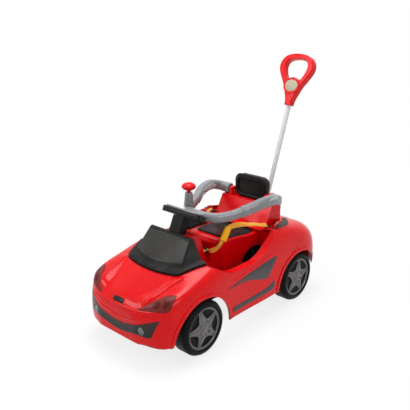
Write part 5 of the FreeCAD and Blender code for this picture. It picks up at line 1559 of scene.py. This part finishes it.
@dataclass
class HandleDress:
    """The push handle's two rounded halves, in place of the CAD ones, with a boss and its bare sticker."""

    shop: Workshop
    neck: Vector = field(init=False)
    tilt: float = 19.4
    half: float = 13.5
    outline: Sequence[Point] = ((12.2, 0.0), (14.8, 20.0), (23.5, 43.0), (34.5, 68.0), (50.0, 93.0),
                                (63.0, 115.0), (68.0, 134.0), (64.0, 153.0), (50.0, 170.0), (27.0, 178.6),
                                (0.0, 181.0))
    opening: Sequence[Point] = ((0.0, 98.5), (14.0, 95.2), (25.0, 90.5), (31.0, 95.0), (40.0, 112.0),
                                (46.0, 133.0), (41.5, 151.0), (27.0, 159.5), (0.0, 162.5))
    opening_spare: float = 4.0
    boss_up: float = 68.0
    boss_half: Point = (32.0, 27.5)
    boss_rise: float = 2.6
    boss_sides: int = 64
    boss_insets: Sequence[Point] = ((0.0036, 0.0), (0.0006, -0.0012))
    boss_round: float = 0.0006
    spot_half: Point = (25.0, 20.0)
    rim: float = 0.0032

    def __post_init__(self) -> None:
        """Finds the middle of the handle's neck."""
        self.neck = Vector((0.0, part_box("handle_rear")[0][1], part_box("handle_front")[0][2]))

    def build(self) -> None:
        """Makes the halves and the boss, and lays the sticker."""
        palette = self.shop.palette
        for name, face in (("front", 1.0), ("rear", -1.0)):
            shell = self.shell(f"handle_shell_{name}", face)
            self.shop.keep(shell, "push_handle", palette.red)
            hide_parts(f"handle_{name}")
        boss = self.boss()
        self.shop.keep(boss, "push_handle", palette.red)
        self.shop.nodes["handle_boss"] = boss
        upward = Facing.HANDLE.matrix().to_3x3() @ Vector((0.0, 1.0, 0.0))
        middle = (0.0, self.spot(0.0, self.boss_up, self.half).dot(upward) / MM)
        upper, lower = (ring_edge(middle, *self.spot_half, side) for side in (1, -1))
        self.shop.lay(SkinPatch("handle_spot", "handle_boss", Facing.HANDLE, upper, lower, Relief.FILM, 0.5,
                                40, 24), "push_handle", palette.spot)

    def spot(self, across: float, up: float, depth: float) -> Vector:
        """A place on the handle.

        Args:
            across: The way to the car's left, in millimetres.
            up: The way up from the neck along the handle.
            depth: The way towards the front from the seam of the halves.

        Returns:
            The place in the car's frame.
        """
        turn = math.radians(self.tilt)
        return self.neck + Vector((across, up * math.sin(turn) - depth * math.cos(turn),
                                   up * math.cos(turn) + depth * math.sin(turn))) * MM

    def outward(self, face: float) -> Vector:
        """The way that the handle's front looks for 1, or its rear for -1."""
        return (self.spot(0.0, 0.0, face) - self.neck).normalized()

    @staticmethod
    def loop(points: Sequence[Point], count: int) -> list[Point]:
        """A smooth edge all round, through the points of its left half."""
        whole = list(points) + [(-across, up) for across, up in reversed(points) if across > 0]
        return [tuple(line_point(whole, number / (count - 1))) for number in range(count)]

    def slab(self, name: str, edge: Sequence[Point], back: float, front: float) -> Piece:
        """A slab in the handle's plane.

        Args:
            name: The slab's name.
            edge: The points of its edge.
            back: Where its rear face lies, from the seam.
            front: Where its front face lies.

        Returns:
            The slab.
        """
        way = self.spot(0.0, 0.0, front) - self.spot(0.0, 0.0, back)
        piece = extruded(name, [self.spot(across, up, back) for across, up in edge], way)
        close_up(piece)
        return piece

    def shell(self, name: str, face: float) -> Piece:
        """One half of the handle with its finger opening and rounded rims.

        Args:
            name: The half's name.
            face: 1 for the front half and -1 for the rear one.

        Returns:
            The finished half.
        """
        low, high = sorted((0.0, face * self.half))
        piece = self.slab(name, self.loop(self.outline, 96), low, high)
        cut_out(piece, self.slab("handle_opening", self.loop(self.opening, 72), low - self.opening_spare,
                                 high + self.opening_spare))
        close_up(piece)
        with picking(piece, self.outward(face), 0.95):
            bpy.ops.mesh.region_to_loop()
            bpy.ops.mesh.bevel(offset=self.rim, segments=4, affect="EDGES")
        close_up(piece, 35.0)
        return piece

    def boss(self) -> Piece:
        """The round boss with a shallow recess for the sticker."""
        wide, tall = self.boss_half
        turns = [math.tau * number / self.boss_sides for number in range(self.boss_sides)]
        edge = [(wide * math.sin(turn), self.boss_up + tall * math.cos(turn)) for turn in turns]
        piece = self.slab("handle_boss", edge, self.half - 1.0, self.half + self.boss_rise)
        with picking(piece, self.outward(1.0), 0.95):
            inset_steps(self.boss_insets)
        round_edges(piece, self.boss_round, 3, 40.0)
        close_up(piece)
        return piece


@dataclass
class LapBelt:
    """The two straps of webbing, in place of their CAD solids, and the loop across the pommel."""

    shop: Workshop
    width: float = 0.017
    thickness: float = 0.0016
    steps: int = 120
    lean: float = 2.4
    lean_start: float = 0.5
    lean_run: float = 0.3
    ripple: float = 0.0006
    ripple_turns: float = 40.0
    run_step: float = 0.01
    left: Sequence[Place] = ((0.0418, -0.1077, 0.2380), (0.0578, -0.1058, 0.2394), (0.0707, -0.0932, 0.2475),
                             (0.0821, -0.0773, 0.2747), (0.0836, -0.0553, 0.3046), (0.0866, -0.0248, 0.3101),
                             (0.0988, 0.0360, 0.2992), (0.1231, 0.0931, 0.2867))
    right: Sequence[Place] = ((-0.0418, -0.1077, 0.2380), (-0.0578, -0.1058, 0.2394),
                              (-0.0707, -0.0932, 0.2475), (-0.0828, -0.0726, 0.2693),
                              (-0.0874, -0.0342, 0.2842), (-0.0942, 0.0126, 0.2870),
                              (-0.1064, 0.0594, 0.2861), (-0.1231, 0.0931, 0.2870))
    loop: Sequence[Place] = ((-0.0430, -0.1081, 0.2378), (-0.0220, -0.1090, 0.2360), (0.0, -0.1092, 0.2352),
                             (0.0220, -0.1090, 0.2360), (0.0430, -0.1081, 0.2378))

    def strap(self, name: str, route: Sequence[Place], outward: Place) -> Piece:
        """One strap that follows its route on edge and lies over towards its end.

        Args:
            name: The strap's name.
            route: The points of its centre line.
            outward: The way that its face looks.

        Returns:
            The finished strap.
        """
        strap = grid(name, self.steps, 6)
        for vertex in strap.data.vertices:
            share, across = vertex.co.x + 0.5, vertex.co.y
            spot = line_point(route, share)
            run = line_point(route, share + self.run_step) - line_point(route, share - self.run_step)
            run.normalize()
            lean = self.lean * smooth_step((share - self.lean_start) / self.lean_run)
            flat = run.cross(Vector(outward) + Vector((0.0, 0.0, lean))).normalized()
            bow = flat.cross(run) * (self.ripple * math.sin(share * self.ripple_turns))
            vertex.co = spot + flat * across * self.width + bow
        add_modifier(strap, "SOLIDIFY", thickness=self.thickness, offset=0.0)
        close_up(strap, 60.0)
        return strap

    def build(self) -> None:
        """Makes both straps and the loop between them."""
        orange = self.shop.palette.orange
        for name, route, side in (("belt_left", self.left, 1.0), ("belt_right", self.right, -1.0)):
            strap = self.strap(f"webbing_{name}", route, (side, 0.0, 0.0))
            self.shop.keep(strap, "car", orange)
            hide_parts(name)
        self.shop.keep(self.strap("webbing_loop", self.loop, (0.0, -1.0, -0.5)), "car", orange)


@dataclass
class Studio:
    """Floor, light and the camera at the photograph's angle."""

    eye: Place = (1.207, -1.3862, 0.971)
    azimuth: float = 42.5
    elevation: float = 18.65
    lens: float = 52.7
    sensor: float = 36.0
    floor_size: float = 16.0
    floor_tone: float = 0.9
    shadow_reach: Point = (0.35, 0.95)
    shadow_white: Point = (0.80, 1.0)
    fill: float = 0.34
    aim: Place = (0.0, 0.0, 0.2)
    boxes: Sequence[tuple[str, Place, float, float]] = (("top_box", (-0.1, 0.1, 2.4), 1.3, 46.0),
                                                        ("front_box", (-1.3, -2.2, 1.9), 1.1, 28.0),
                                                        ("side_box", (2.7, -0.5, 1.4), 1.1, 20.0))

    def build(self) -> None:
        """Sets the stage."""
        bpy.context.scene.view_settings.view_transform = "Standard"
        self.camera()
        self.floor()
        self.world()
        self.lamps()

    def camera(self) -> None:
        """Adds the camera."""
        clear_selection()
        bpy.ops.object.camera_add(location=self.eye)
        camera = named("studio_camera")
        camera.rotation_euler = (math.radians(90 - self.elevation), 0.0, math.radians(self.azimuth))
        camera.data.sensor_fit = "HORIZONTAL"
        camera.data.sensor_width = self.sensor
        camera.data.lens = self.lens
        bpy.context.scene.camera = camera

    @staticmethod
    def seen(graph: Graph) -> Socket:
        """1 for rays from the camera, by reflection or through glass, and 0 for the rest."""
        rays = graph.node("ShaderNodeLightPath").outputs
        seen = graph.math("ADD", rays["Is Camera Ray"], rays["Is Glossy Ray"], True)
        return graph.math("ADD", seen, rays["Is Transmission Ray"], True)

    def floor(self) -> None:
        """Adds a pale floor that is white to the camera but keeps a soft shadow."""
        clear_selection()
        bpy.ops.mesh.primitive_plane_add(size=self.floor_size)
        floor = named("studio_floor")
        material = bpy.data.materials.new("studio_floor_white")
        material.use_nodes = True
        material.node_tree.nodes.clear()
        graph = Graph(material.node_tree)
        matt = graph.node("ShaderNodeBsdfDiffuse")
        graph.feed(matt.inputs["Color"], wet((self.floor_tone,) * 3))
        far = graph.node("ShaderNodeVectorMath", operation="LENGTH")
        graph.feed(far.inputs[0], graph.here())
        white = graph.span(far.outputs["Value"], *self.shadow_reach, *self.shadow_white)
        blend = graph.node("ShaderNodeMixShader")
        glow = graph.node("ShaderNodeEmission")
        shares = (graph.times(self.seen(graph), white), matt.outputs[0], glow.outputs[0])
        for socket, share in zip(blend.inputs, shares):
            graph.feed(socket, share)
        graph.feed(graph.node("ShaderNodeOutputMaterial").inputs[0], blend.outputs[0])
        paint(floor, material)

    def world(self) -> None:
        """A white world to the camera and to reflections, and a plain soft light to the rest."""
        world = bpy.data.worlds.new("studio_world")
        bpy.context.scene.world = world
        world.use_nodes = True
        graph = Graph(world.node_tree)
        strength = graph.math("ADD", graph.times(self.seen(graph), 1 - self.fill), self.fill)
        graph.feed_all(world.node_tree.nodes["Background"], {"Color": WHITE, "Strength": strength})

    def lamps(self) -> None:
        """Adds three soft boxes: above, front left and the near side."""
        for name, place, size, power in self.boxes:
            clear_selection()
            bpy.ops.object.light_add(type="AREA", location=place)
            lamp = named(name)
            lamp.data.size = size
            lamp.data.energy = power
            lamp.rotation_euler = (Vector(self.aim) - Vector(place)).to_track_quat("-Z", "Y").to_euler()


def main() -> None:
    """Loads the frame, builds each sub-assembly and sets the stage."""
    logging.basicConfig(level=logging.INFO, format="%(name)s: %(message)s")
    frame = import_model()
    shop = Workshop(frame["nodes"], Palette(EffectKit()))
    Studio().build()
    NodeFinishes(shop, frame["record"]["subparts"]).dress()
    for assembly in (BodyDress, CockpitDress, GuardRing, SteeringYoke, Headrest, WheelDress, HandleDress,
                     LapBelt):
        assembly(shop).build()


if __name__ == "__main__":
    main()
